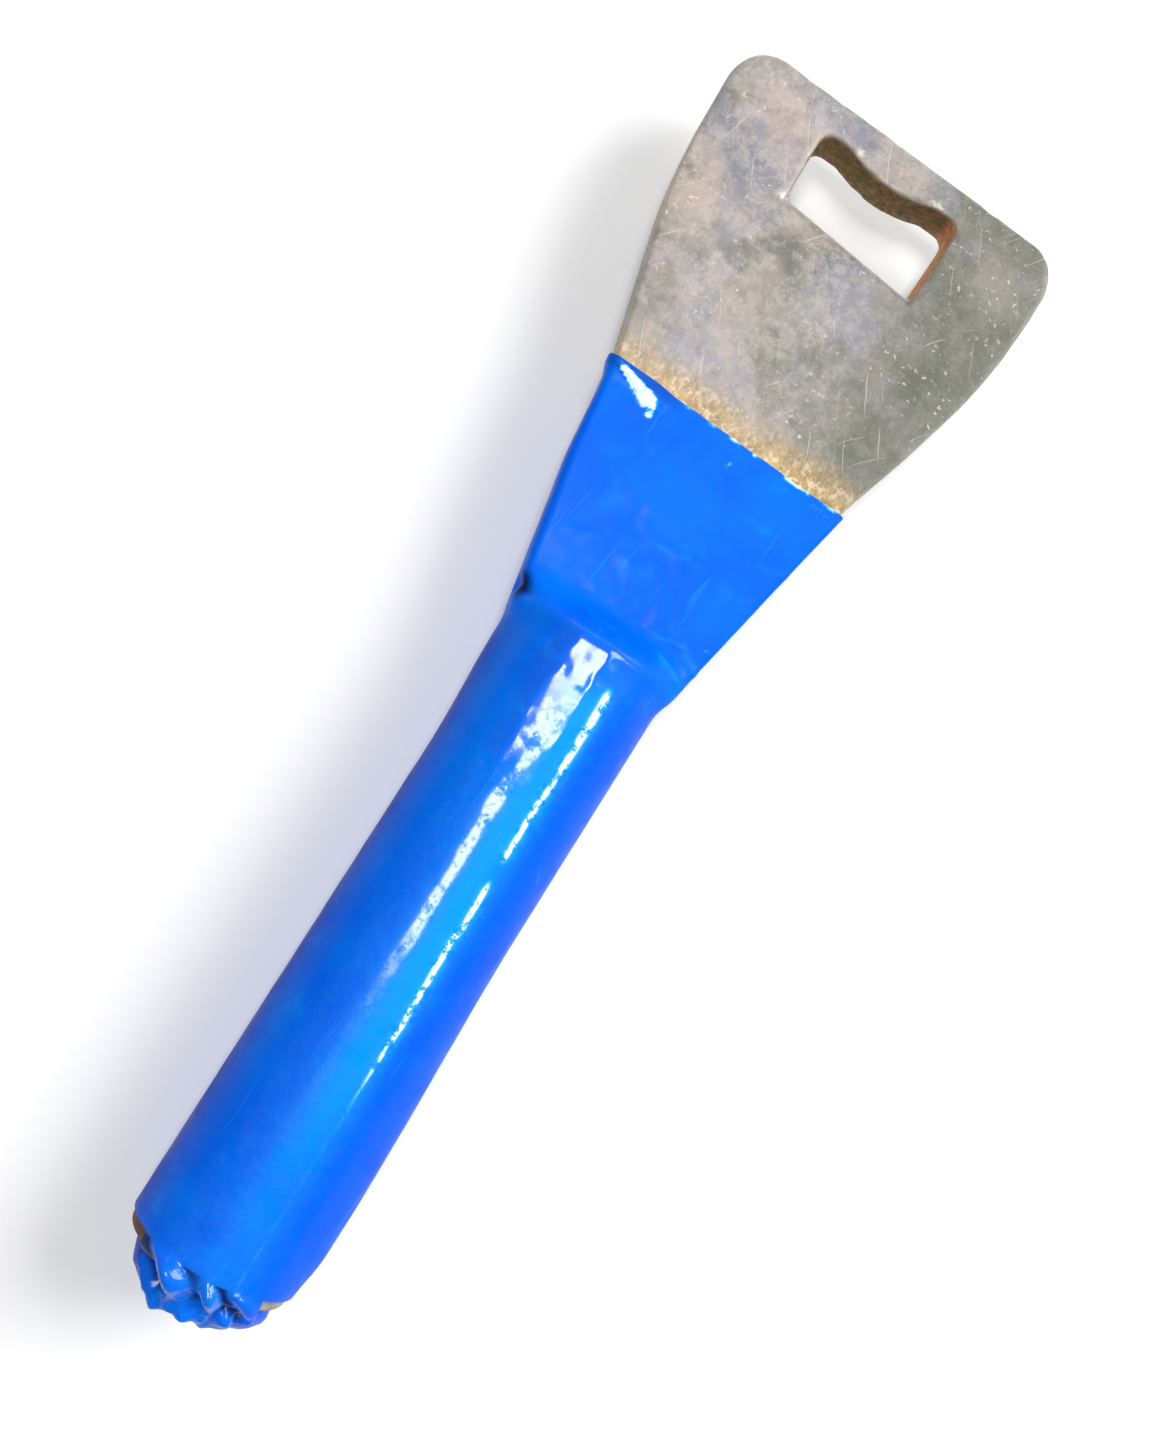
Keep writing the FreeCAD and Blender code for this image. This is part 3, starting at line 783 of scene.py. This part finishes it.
def pucker(across, along):
    """A three-cornered pucker behind the lifted left end of the lip, which also carries a painted
    highlight.
    """
    share, off = beside_line(across, along, PUCKER)
    if not 0 < share < 1.15:
        return 0.0
    half = (0.18 + 1.10 * share) * MM
    ragged = 0.30 * MM * share * noise.noise(Vector((across / (0.9 * MM), along / (0.9 * MM), 3.3)))
    inside = 1 - smoothstep(0.30 * half, 1.35 * half, abs(off + ragged))
    return inside * smoothstep(0, 0.12, share) * (1 - smoothstep(0.90, 1.12, share + ragged / MM))


def painted_shade_marks(place, along, turn):
    """Painted shade, deep blue: at the lifted left end of the lip and in the pinched notch."""
    if abs(turn) > math.pi / 2:
        return 0.0
    lip = (smoothstep(LIP_Y - 1.9 * MM, LIP_Y - 1.2 * MM, along)
           * (1 - smoothstep(-13 * MM, -7 * MM, place.x)))
    reach = math.hypot((place.x - NOTCH[0] * MM) / NOTCH_SIZE[0],
                       (along - NOTCH[1] * MM) / NOTCH_SIZE[1]) / MM
    notch = math.exp(-reach ** 4)
    return max(LIP_SHADE * lip, notch) * (1 - smoothstep(70, 86, math.degrees(abs(turn))))


def level_crown(along, turn):
    """Near the head the film spans the crown as a level strip: height that turns round into flat."""
    share = hump(along, LEVEL_RISE, LEVEL_FALL)
    off = abs((turn - LEVEL_TURN) * ROUND_HALF)
    off += LEVEL_RAGGED * noise.noise(Vector((turn * 4.0, along / (2.6 * MM), 6.1)))
    if share == 0 or off > LEVEL_HALF + LEVEL_FADE:
        return 0.0
    height = min(off, LEVEL_HALF) ** 2 / (2 * ROUND_HALF)
    return share * height * (1 - smoothstep(LEVEL_HALF, LEVEL_HALF + LEVEL_FADE, off))


def relief(place, along, turn):
    """All the small bumps of the film's top side, and the broad unevenness all round."""
    height = crease(along, turn)
    fine = noise.noise(place / FINE_SIZE)
    height += BROAD_WAVE * noise.noise(place / BROAD_SIZE) + FINE_WAVE * fine
    height += level_crown(along, turn)
    if abs(turn) < 0.6:
        near = smoothstep(8 * MM, 34 * MM, along)
        height += NEAR_WAVE * near * fine
    if abs(turn) < math.pi / 2:
        height += PUCKER_RISE * pucker(place.x, along)
        for wrinkle in WRINKLES:
            height += ridge(place.x, along, wrinkle)
        for across, up, rise, size in PIMPLES:
            reach = math.hypot(place.x - across * MM, along - up * MM)
            height += rise * MM * math.exp(-(reach / (size * MM)) ** 2)
        reach = math.hypot(place.x - BLISTER[0], along - BLISTER[1])
        height += BLISTER[2] * math.exp(-(reach / BLISTER[3]) ** 2)
        left = 1 - smoothstep(-16 * MM, -7 * MM, place.x)
        height += LIP_LIFT * left * smoothstep(LIP_Y - LIP_REACH, LIP_Y, along)
    return height


def lip_shift(across, along):
    """The cut edge runs a little askew and a little wavy."""
    near = smoothstep(LIP_Y - 14 * MM, LIP_Y, along)
    wave = 0.22 * MM * noise.noise(Vector((across / (4.5 * MM), 2.2, 0.4)))
    return near * (wave - LIP_SLANT * across)


print("creases", CREASE_RISE / MM, "mm high, with", len(WRINKLES), "wrinkles")

# %% [markdown]
# ## Sleeve, step 4: the grid is rolled up
# A flat grid has a row for each section and a column for each turn round the tool, so rolling it up
# is a matter of moving each corner to its place. The corners over the bare rim are deleted, the
# seam is merged, and Solidify gives the sheet the thickness of the film, inwards.

# %% Sleeve mesh
BARE_LENGTH, TORN_LENGTH = 3.0, 6.2
# painted shade: how dark the valleys of the gathered end's folds are painted, and the fold depths in mm
# over which it comes in
FOLD_SHADE, FOLD_DARK_RANGE = 0.95, (-0.05, 0.95)


def tube_grid(name, row_count):
    """A square grid whose rows and columns are about to be rolled into a tube."""
    bpy.ops.mesh.primitive_grid_add(x_subdivisions=COLUMNS, y_subdivisions=row_count - 1, size=1.0)
    piece = bpy.context.object
    piece.name = name
    return piece


all_rows = END_ROWS + len(rows)
sleeve = tube_grid("sleeve", all_rows)
bare = set()
painted_highlight_mask = sleeve.data.attributes.new("painted_highlight_mark", "FLOAT", "POINT")
painted_shade_mask = sleeve.data.attributes.new("painted_shade_mark", "FLOAT", "POINT")
for vert in sleeve.data.vertices:
    turn = column_turn(vert.co.x)
    row = round((vert.co.y + 0.5) * (all_rows - 1)) - END_ROWS
    if row < 0:
        walked = WALK_END * -row / END_ROWS
        walked_mm, degrees = walked / MM, math.degrees(turn)
        vert.co = end_point(walked, turn)
        # painted shade, deep blue, in the valleys of the folds
        depth = -fold_height(degrees, walked_mm)
        painted_shade_mask.data[vert.index].value = FOLD_SHADE * smoothstep(*FOLD_DARK_RANGE, depth)
        side = side_share(degrees)
        if side > 0.02 and (walked_mm < BARE_LENGTH or (side < 0.98 and walked_mm < TORN_LENGTH)):
            bare.add(vert.index)
        continue
    along = rows[row]
    spot = film_point(along, turn)
    # painted highlight and painted shade marks, for the paint to read
    painted_highlight_mask.data[vert.index].value = painted_highlight_marks(spot, along, turn)
    painted_shade_mask.data[vert.index].value = painted_shade_marks(spot, along, turn)
    spot.y += lip_shift(spot.x, along)
    ahead = film_point(along, turn + 0.01) - film_point(along, turn - 0.01)
    up = film_point(along + 0.1 * MM, turn) - film_point(along - 0.1 * MM, turn)
    outward = ahead.cross(up).normalized()
    if outward.dot(Vector((spot.x, 0, spot.z))) < 0:
        outward = -outward
    vert.co = spot + outward * relief(spot, along, turn)
pick(sleeve, "VERT", lambda vert: vert.index in bare)
bpy.ops.mesh.delete(type="VERT")
bpy.ops.mesh.select_all(action="SELECT")
bpy.ops.mesh.remove_doubles(threshold=0.02 * MM)
bpy.ops.mesh.normals_make_consistent(inside=False)
done()
finish_with(sleeve, "film", "SOLIDIFY", thickness=0.85 * FILM, offset=-1.0)
only(sleeve)
bpy.ops.object.shade_smooth_by_angle(angle=math.radians(50))
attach(sleeve, "root")
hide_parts("grip_sleeve", "sleeve_end")
print("sleeve:", len(sleeve.data.polygons), "faces")

# %% [markdown]
# ## Paint, step 1: helpers and shared effects
# Every finish is procedural and reads Object coordinates, in metres, so it keeps its scale. Two
# effects are used by several finishes: soft clouds with a chosen spread, which are two plain nodes
# that a helper sets up, and fine scratches that run one way, which are a node group.

# %% Node helpers
def new_paint(name, **shader_values):
    """A material with one Principled shader, its constant values set on the shader's own sockets."""
    paint = bpy.data.materials.new(name)
    paint.use_nodes = True
    shader = paint.node_tree.nodes["Principled BSDF"]
    for socket, value in shader_values.items():
        shader.inputs[socket.replace("_", " ")].default_value = value
    return paint, paint.node_tree, shader


def add_node(tree, kind, **settings):
    node = tree.nodes.new(kind)
    for key, value in settings.items():
        setattr(node, key, value)
    return node


def join(tree, start, end):
    tree.links.new(start, end)


def colour(red, green, blue):
    """A screen colour, 0 to 255, as the linear colour that a shader wants."""
    def linear(level):
        share = level / 255
        return share / 12.92 if share <= 0.04045 else ((share + 0.055) / 1.055) ** 2.4
    return (linear(red), linear(green), linear(blue), 1.0)


def object_place(tree):
    return add_node(tree, "ShaderNodeTexCoord").outputs["Object"]


def axes_of(tree, place):
    """The parts of a place that lie across the tool, along it and up."""
    axes = add_node(tree, "ShaderNodeSeparateXYZ")
    join(tree, place, axes.inputs[0])
    return axes.outputs["X"], axes.outputs["Y"], axes.outputs["Z"]


def noise_mask(tree, place, size, low, high, detail=4.0, roughness=0.6, shift=0.0):
    """Noise with features of the given size in metres, spread out between two levels to 0 to 1."""
    moved = add_node(tree, "ShaderNodeMapping")
    moved.inputs["Location"].default_value = (shift, shift * 0.7, shift * 1.3)
    join(tree, place, moved.inputs["Vector"])
    clouds = add_node(tree, "ShaderNodeTexNoise")
    clouds.inputs["Scale"].default_value = 1 / size
    clouds.inputs["Detail"].default_value = detail
    clouds.inputs["Roughness"].default_value = roughness
    join(tree, moved.outputs["Vector"], clouds.inputs["Vector"])
    return ramp_mask(tree, clouds.outputs["Fac"], low, high)


def ramp_mask(tree, value, low, high):
    """A soft step from 0 at the low value to 1 at the high one."""
    ramp = add_node(tree, "ShaderNodeMapRange", interpolation_type="SMOOTHSTEP")
    ramp.inputs["From Min"].default_value = low
    ramp.inputs["From Max"].default_value = high
    join(tree, value, ramp.inputs["Value"])
    return ramp.outputs["Result"]


def blend_colour(tree, share, below, above):
    """Mix two colours, each a socket or a fixed colour, by a share that is a socket or a number."""
    mix = add_node(tree, "ShaderNodeMix", data_type="RGBA", blend_type="MIX")
    for value, socket in ((share, mix.inputs[0]), (below, mix.inputs[6]), (above, mix.inputs[7])):
        feed(tree, value, socket)
    return mix.outputs[2]


def feed(tree, value, socket):
    """Link a socket to an input, or write a fixed value there."""
    if isinstance(value, bpy.types.NodeSocket):
        join(tree, value, socket)
    else:
        socket.default_value = value


def maths(tree, operation, first, second):
    """One maths step on two values, each a socket or a number."""
    step = add_node(tree, "ShaderNodeMath", operation=operation)
    feed(tree, first, step.inputs[0])
    feed(tree, second, step.inputs[1])
    return step.outputs[0]


def times(tree, first, second):
    return maths(tree, "MULTIPLY", first, second)


def plus(tree, first, second):
    return maths(tree, "ADD", first, second)


def minus(tree, first, second):
    return maths(tree, "SUBTRACT", first, second)


def larger(tree, first, second):
    return maths(tree, "MAXIMUM", first, second)


def either_way(tree, value):
    """The value without its sign."""
    return maths(tree, "ABSOLUTE", value, 0.0)


def tint(tree, ground, share, most, shade):
    """Lay a screen colour over the ground where a mask says so, and at most by the given share."""
    return blend_colour(tree, times(tree, share, most), ground, colour(*shade))


def read_attribute(tree, name):
    return add_node(tree, "ShaderNodeAttribute", attribute_name=name).outputs["Fac"]


def repaint(piece, paint):
    """Give a piece one finish in place of any that it had."""
    piece.data.materials.clear()
    piece.data.materials.append(paint)
    print(piece.name, "has the finish", paint.name, "of", len(paint.node_tree.nodes), "nodes")


# %% Scratch group
def make_scratch_group():
    """Fine lines: noise squeezed hard one way, so that its features become long and thin."""
    group = bpy.data.node_groups.new("fine_scratches", "ShaderNodeTree")
    face = group.interface
    face.new_socket("Place", in_out="INPUT", socket_type="NodeSocketVector")
    face.new_socket("Turn", in_out="INPUT", socket_type="NodeSocketFloat")
    face.new_socket("Spacing", in_out="INPUT", socket_type="NodeSocketFloat")
    face.new_socket("Amount", in_out="INPUT", socket_type="NodeSocketFloat")
    face.new_socket("Mask", in_out="OUTPUT", socket_type="NodeSocketFloat")
    inside = add_node(group, "NodeGroupInput")
    outside = add_node(group, "NodeGroupOutput")
    turn = add_node(group, "ShaderNodeVectorRotate", rotation_type="Z_AXIS")
    join(group, inside.outputs["Place"], turn.inputs["Vector"])
    join(group, inside.outputs["Turn"], turn.inputs["Angle"])
    # a broad wobble keeps the lines from being ruler straight
    wobble = add_node(group, "ShaderNodeTexNoise")
    wobble.inputs["Scale"].default_value = 60.0
    join(group, turn.outputs["Vector"], wobble.inputs["Vector"])
    drift = add_node(group, "ShaderNodeVectorMath", operation="SCALE")
    drift.inputs["Scale"].default_value = 0.0035
    join(group, wobble.outputs["Color"], drift.inputs[0])
    moved = add_node(group, "ShaderNodeVectorMath", operation="ADD")
    join(group, turn.outputs["Vector"], moved.inputs[0])
    join(group, drift.outputs["Vector"], moved.inputs[1])
    squeeze = add_node(group, "ShaderNodeVectorMath", operation="MULTIPLY")
    squeeze.inputs[1].default_value = (1.0, 0.035, 0.2)
    join(group, moved.outputs["Vector"], squeeze.inputs[0])
    lines = add_node(group, "ShaderNodeTexNoise")
    lines.inputs["Detail"].default_value = 1.0
    join(group, maths(group, "DIVIDE", 1.0, inside.outputs["Spacing"]), lines.inputs["Scale"])
    join(group, squeeze.outputs["Vector"], lines.inputs["Vector"])
    threshold = times(group, inside.outputs["Amount"], 0.2)
    threshold = minus(group, 0.78, threshold)
    above = minus(group, lines.outputs["Fac"], threshold)
    sharp = times(group, above, 25.0)
    clamp = add_node(group, "ShaderNodeClamp")
    join(group, sharp, clamp.inputs["Value"])
    join(group, clamp.outputs["Result"], outside.inputs["Mask"])
    return group


scratch_group = make_scratch_group()
print("scratch group:", len(scratch_group.nodes), "nodes")


def scratches(tree, place, turn, spacing, amount):
    """Place the scratch group with its own direction in degrees, spacing in metres and amount."""
    node = add_node(tree, "ShaderNodeGroup", node_tree=scratch_group)
    node.inputs["Turn"].default_value = math.radians(turn)
    node.inputs["Spacing"].default_value = spacing
    node.inputs["Amount"].default_value = amount
    join(tree, place, node.inputs["Place"])
    return node.outputs["Mask"]


def bump(tree, shader, height, distance, strength=1.0):
    relief_node = add_node(tree, "ShaderNodeBump")
    relief_node.inputs["Strength"].default_value = strength
    relief_node.inputs["Distance"].default_value = distance
    join(tree, height, relief_node.inputs["Height"])
    join(tree, relief_node.outputs["Normal"], shader.inputs["Normal"])


# %% [markdown]
# ## Paint, step 2: worn steel
# The head is old bare steel: cloudy grey with olive, lilac and pinkish patches, pale flecks and
# thin scratches. A tan stain runs along the sleeve's edge, where damp stays. The slot's walls have
# never been rubbed clean, so they are rust brown; the right wall's rust is painted lighter and
# orange, as painted light. Noise gives most of this. The few patches and worn spots that stand out
# are listed one by one, each a soft round mask with its border broken up by the same kind of clouds.

# %% Steel of the head
STAIN_FROM = WAIST_Y + 3.0 * MM
# across, along and radius in mm
LILAC_PATCHES = [(-19.0, 129.0, 6.5), (2.0, 123.0, 4.5), (7.0, 118.0, 4.5), (-7.5, 143.5, 3.5)]
PINK_PATCHES = [(-22.0, 139.0, 6.0), (-22.5, 121.5, 4.0), (-24.0, 110.0, 4.5), (1.5, 142.5, 3.5)]
WORN_SPOTS = [(-13.0, 128.9, 0.8), (8.2, 141.2, 1.2), (-6.3, 141.6, 0.7)]


def patch(tree, place, across, along, size, most):
    """A soft patch round one spot of the head, its border broken up by clouds."""
    reach = add_node(tree, "ShaderNodeVectorMath", operation="DISTANCE")
    join(tree, place, reach.inputs[0])
    reach.inputs[1].default_value = (across * MM, along * MM, HALF_PLATE)
    clouds = noise_mask(tree, place, 0.45 * size * MM, 0.2, 0.8, detail=5, shift=across)
    edge = times(tree, clouds, 1.1 * size * MM)
    near = minus(tree, edge, reach.outputs["Value"])
    near = ramp_mask(tree, near, -0.9 * size * MM, 0.5 * size * MM)
    return times(tree, near, most)


def make_head_steel():
    paint, tree, shader = new_paint("head_steel", Metallic=0.15, Specular_IOR_Level=0.35)
    place = object_place(tree)
    across, along = axes_of(tree, place)[:2]

    # cloudy ground colour: greyer and greener to the right, pinkish to the left
    patches = noise_mask(tree, place, 0.015, 0.38, 0.62, detail=6)
    ground = blend_colour(tree, patches, colour(118, 118, 110), colour(156, 151, 147))
    lilac = noise_mask(tree, place, 0.012, 0.50, 0.62, detail=4, shift=0.31)
    ground = tint(tree, ground, lilac, 0.55, (146, 146, 164))
    left_side = ramp_mask(tree, times(tree, across, -1.0), -0.004, 0.022)
    warm = noise_mask(tree, place, 0.009, 0.44, 0.62, detail=5, shift=0.77)
    warm_share = plus(tree, 0.20, times(tree, left_side, 0.5))
    warm_share = times(tree, warm, warm_share)
    ground = blend_colour(tree, warm_share, ground, colour(188, 170, 160))
    right_side = ramp_mask(tree, across, 0.000, 0.020)
    olive = noise_mask(tree, place, 0.014, 0.40, 0.62, detail=5, shift=1.43)
    olive_share = plus(tree, 0.50, times(tree, olive, 0.45))
    olive_share = times(tree, right_side, olive_share)
    ground = blend_colour(tree, olive_share, ground, colour(98, 101, 86))
    # a few listed patches: lilac by the slot, pinkish towards the left corner
    for x, y, size in LILAC_PATCHES:
        ground = blend_colour(tree, patch(tree, place, x, y, size, 0.60), ground, colour(128, 131, 154))
    for x, y, size in PINK_PATCHES:
        ground = blend_colour(tree, patch(tree, place, x, y, size, 0.45), ground, colour(188, 168, 160))

    # mottle of a few millimetres, then pale flecks and dark pits under a millimetre
    mottle = noise_mask(tree, place, 0.0026, 0.44, 0.62, detail=8, roughness=0.74, shift=2.2)
    mottle_share = minus(tree, 0.40, times(tree, right_side, 0.26))
    mottle_share = times(tree, mottle, mottle_share)
    ground = blend_colour(tree, mottle_share, ground, colour(198, 190, 182))
    dark = noise_mask(tree, place, 0.0034, 0.50, 0.66, detail=8, roughness=0.74, shift=3.9)
    ground = tint(tree, ground, dark, 0.32, (92, 94, 84))
    flecks = noise_mask(tree, place, 0.0009, 0.60, 0.70, detail=3, shift=5.1)
    cluster = noise_mask(tree, place, 0.008, 0.46, 0.60, detail=3, shift=6.0)
    fleck_share = plus(tree, 0.15, times(tree, cluster, 0.75))
    fleck_share = times(tree, flecks, fleck_share)
    ground = tint(tree, ground, fleck_share, 0.6, (236, 224, 216))
    for x, y, size in WORN_SPOTS:
        ground = blend_colour(tree, patch(tree, place, x, y, size, 0.70), ground, colour(236, 226, 212))

    # scratches three ways
    fine = scratches(tree, place, 40, 0.0006, 0.45)
    cross = scratches(tree, place, -28, 0.0007, 0.38)
    long_ones = scratches(tree, place, 12, 0.0012, 0.20)
    lines = larger(tree, fine, larger(tree, cross, long_ones))
    ground = tint(tree, ground, lines, 0.35, (214, 200, 194))

    # golden stain beside the sleeve, drawn out along the tool in short strokes
    drawn = add_node(tree, "ShaderNodeMapping")
    drawn.inputs["Scale"].default_value = (1.0, 0.72, 1.0)
    join(tree, place, drawn.inputs["Vector"])
    strokes = noise_mask(tree, drawn.outputs["Vector"], 0.0017, 0.25, 0.75, detail=5, shift=7.7)
    wide = noise_mask(tree, place, 0.010, 0.25, 0.75, detail=2, shift=4.7)
    reach = plus(tree, STAIN_FROM, times(tree, strokes, 0.0020))
    reach = plus(tree, reach, times(tree, wide, 0.0022))
    reach = minus(tree, reach, times(tree, across, LIP_SLANT))
    stain = ramp_mask(tree, minus(tree, reach, along), -0.0022, 0.0062)
    shade = noise_mask(tree, drawn.outputs["Vector"], 0.0016, 0.34, 0.62, detail=7, roughness=0.75,
                       shift=9.2)
    tan = blend_colour(tree, shade, colour(146, 114, 62), colour(204, 172, 116))
    bright = noise_mask(tree, drawn.outputs["Vector"], 0.0010, 0.50, 0.62, detail=4, shift=12.2)
    tan = blend_colour(tree, times(tree, bright, 0.62), tan, colour(250, 228, 194))
    ground = blend_colour(tree, times(tree, stain, 0.90), ground, tan)

    # bright worn edges, then the rust-stained walls of the slot, the right wall painted lighter and
    # orange as rust in painted light
    edge = read_attribute(tree, "edge_wear")
    ground = tint(tree, ground, edge, 0.35, (196, 186, 170))
    wall = read_attribute(tree, "slot_wall")
    rust_cloud = noise_mask(tree, place, 0.0012, 0.35, 0.68, detail=5, roughness=0.7, shift=11.0)
    rust = blend_colour(tree, rust_cloud, colour(122, 104, 70), colour(178, 148, 98))
    # painted light: the rust of the right wall is lighter and orange
    to_right = ramp_mask(tree, across, 0.0106, 0.0122)
    orange = blend_colour(tree, rust_cloud, colour(210, 140, 92), colour(240, 180, 130))
    rust = blend_colour(tree, to_right, rust, orange)
    ground = blend_colour(tree, wall, ground, rust)
    join(tree, ground, shader.inputs["Base Color"])

    dull = plus(tree, 0.40, times(tree, mottle, 0.16))
    dull = plus(tree, dull, times(tree, wall, 0.25))
    join(tree, dull, shader.inputs["Roughness"])
    grain = minus(tree, times(tree, mottle, 0.6), times(tree, lines, 0.8))
    grain = minus(tree, grain, times(tree, fleck_share, 0.7))
    bump(tree, shader, grain, 0.00008, 0.6)
    return paint


repaint(head, make_head_steel())

# %% [markdown]
# ## Paint, step 3: the tube and the welds
# Only the tube's cut end shows, at both sides of the gathered film. It is rusty and darker on the
# left, in painted shade, and paler bare steel on the right, in painted light. The welds are hidden, so
# they have the plain dark scale of a bead.

# %% Steel of the tube and the welds
def make_tube_steel():
    paint, tree, shader = new_paint("tube_steel", Metallic=0.4, Specular_IOR_Level=0.5)
    place = object_place(tree)
    across = axes_of(tree, place)[0]
    cloud = noise_mask(tree, place, 0.0035, 0.35, 0.65, detail=6, roughness=0.7)
    # rust at the left, darkened as painted shade; bare steel at the right, paler as painted light
    rust = blend_colour(tree, cloud, colour(74, 44, 32), colour(118, 78, 56))
    bare = blend_colour(tree, cloud, colour(140, 132, 112), colour(176, 172, 158))
    ground = blend_colour(tree, ramp_mask(tree, across, -0.004, 0.006), rust, bare)
    join(tree, ground, shader.inputs["Base Color"])
    join(tree, plus(tree, 0.5, times(tree, cloud, 0.25)), shader.inputs["Roughness"])
    bump(tree, shader, cloud, 0.0001, 0.5)
    return paint


def make_weld_scale():
    paint, tree, shader = new_paint("weld_scale", Metallic=0.6, Specular_IOR_Level=0.5)
    place = object_place(tree)
    cloud = noise_mask(tree, place, 0.002, 0.3, 0.7, detail=6, roughness=0.7)
    ground = blend_colour(tree, cloud, colour(52, 48, 44), colour(120, 112, 104))
    join(tree, ground, shader.inputs["Base Color"])
    join(tree, plus(tree, 0.4, times(tree, cloud, 0.3)), shader.inputs["Roughness"])
    bump(tree, shader, cloud, 0.0003, 0.8)
    return paint


repaint(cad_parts["handle_tube"], make_tube_steel())
weld_scale = make_weld_scale()
repaint(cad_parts["weld_front"], weld_scale)
repaint(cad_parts["weld_back"], weld_scale)

# %% [markdown]
# ## Paint, step 4: blue film
# The film is a strong clear blue. Its gloss is a coat that is strong along the crown of the
# handle, broken there into ragged patches, and weak on the gathered end. Fine scratches run along
# the grip. Clouds make the roughness uneven, and a very shallow bump crinkles the surface. Light and
# shade are also painted into the colour: a painted sheen along the crown, painted shade low on the
# left and over the right of the handle, and, from the marks kept on the mesh, painted highlights in
# nearly white and painted shade in deep blue.

# %% Blue film
CROWN_LOW, CROWN_HIGH = 10.4 * MM, 12.2 * MM
BAND_MIDDLE, BAND_HALF = 1.8 * MM, 6.0 * MM


def make_blue_film():
    paint, tree, shader = new_paint("blue_film", Specular_IOR_Level=0.06, IOR=1.5, Coat_Roughness=0.12)
    place = object_place(tree)
    across, along, up = axes_of(tree, place)
    # the crown of the handle, above and below
    crown = ramp_mask(tree, either_way(tree, up), CROWN_LOW, CROWN_HIGH)
    end_part = ramp_mask(tree, times(tree, along, -1.0), 0.0470, 0.0500)

    depth = noise_mask(tree, place, 0.016, 0.35, 0.65, detail=3)
    ground = blend_colour(tree, depth, colour(0, 97, 230), colour(0, 110, 234))
    pale = noise_mask(tree, place, 0.006, 0.55, 0.75, detail=4, shift=1.1)
    ground = tint(tree, ground, pale, 0.30, (4, 146, 244))
    # painted sheen: a lighter, slightly greener band along the crown of the handle
    off = either_way(tree, minus(tree, across, BAND_MIDDLE))
    painted_sheen = minus(tree, 1.0, ramp_mask(tree, off, 0.0, BAND_HALF))
    front = minus(tree, ramp_mask(tree, along, -0.060, 0.005), ramp_mask(tree, along, 0.044, 0.053))
    painted_sheen = times(tree, times(tree, painted_sheen, front), ramp_mask(tree, up, 0.009, 0.012))
    ground = tint(tree, ground, painted_sheen, 0.8, (2, 158, 247))
    # painted shade: deeper blue low down on the left side of the handle
    low = minus(tree, 1.0, ramp_mask(tree, either_way(tree, up), 0.001, 0.0092))
    handle_part = minus(tree, 1.0, ramp_mask(tree, along, 0.046, 0.054))
    low = times(tree, low, handle_part)
    to_left = ramp_mask(tree, times(tree, across, -1.0), 0.0, 0.006)
    low = times(tree, low, to_left)
    ground = tint(tree, ground, low, 0.75, (2, 34, 160))
    # painted shade: a darker blue over the right side of the handle
    to_right = times(tree, ramp_mask(tree, across, 0.003, 0.010), handle_part)
    ground = tint(tree, ground, to_right, 0.6, (0, 80, 226))
    along_grip = scratches(tree, place, 4, 0.0007, 0.34)
    skew = scratches(tree, place, -24, 0.0011, 0.10)
    lines = larger(tree, along_grip, skew)
    ground = tint(tree, ground, lines, 0.22, (30, 160, 250))
    # painted shade, deep blue, in the fold valleys, the notch and the lifted lip; painted highlights,
    # nearly white, on creases, wrinkles, pimples, the pucker and the cut edge, in short broken dashes
    ground = blend_colour(tree, read_attribute(tree, "painted_shade_mark"), ground, colour(1, 8, 74))
    dashes = noise_mask(tree, place, 0.0019, 0.40, 0.50, detail=4, roughness=0.7, shift=6.6)
    dashes = plus(tree, 0.30, times(tree, dashes, 0.70))
    painted_highlight_line = times(tree, read_attribute(tree, "painted_highlight_mark"), dashes)
    whiter = ramp_mask(tree, painted_highlight_line, 0.25, 0.85)
    painted_highlight_colour = blend_colour(tree, whiter, colour(40, 176, 250), colour(226, 246, 254))
    ground = blend_colour(tree, ramp_mask(tree, painted_highlight_line, 0.0, 0.5), ground, painted_highlight_colour)
    join(tree, ground, shader.inputs["Base Color"])

    # gloss of the crown, broken by ragged dull patches
    ragged = noise_mask(tree, place, 0.0050, 0.42, 0.50, detail=9, roughness=0.78, shift=2.4)
    grain = noise_mask(tree, place, 0.0009, 0.34, 0.52, detail=3, shift=8.4)
    gloss = times(tree, ragged, plus(tree, 0.35, times(tree, grain, 0.65)))
    # near the head the crown is hardly worn, so it shines nearly everywhere
    whole = ramp_mask(tree, along, 0.036, 0.050)
    worn = noise_mask(tree, place, 0.0026, 0.34, 0.45, detail=7, roughness=0.72, shift=3.7)
    worn = plus(tree, 0.25, times(tree, worn, 0.75))
    gloss = larger(tree, gloss, times(tree, whole, worn))
    shine = times(tree, crown, gloss)
    shine = larger(tree, shine, times(tree, end_part, 0.35))
    shine = plus(tree, 0.03, times(tree, shine, 0.97))
    join(tree, shine, shader.inputs["Coat Weight"])
    scuff = noise_mask(tree, place, 0.0045, 0.42, 0.70, detail=6, roughness=0.65, shift=5.5)
    dull = plus(tree, 0.38, times(tree, scuff, 0.14))
    join(tree, dull, shader.inputs["Roughness"])
    crinkle = noise_mask(tree, place, 0.0019, 0.2, 0.8, detail=3, roughness=0.55, shift=4.4)
    crinkle = times(tree, crinkle, plus(tree, 0.25, times(tree, crown, 0.75)))
    relief_sum = minus(tree, crinkle, times(tree, lines, 0.12))
    bump(tree, shader, relief_sum, 0.00010, 0.6)
    return paint


repaint(sleeve, make_blue_film())
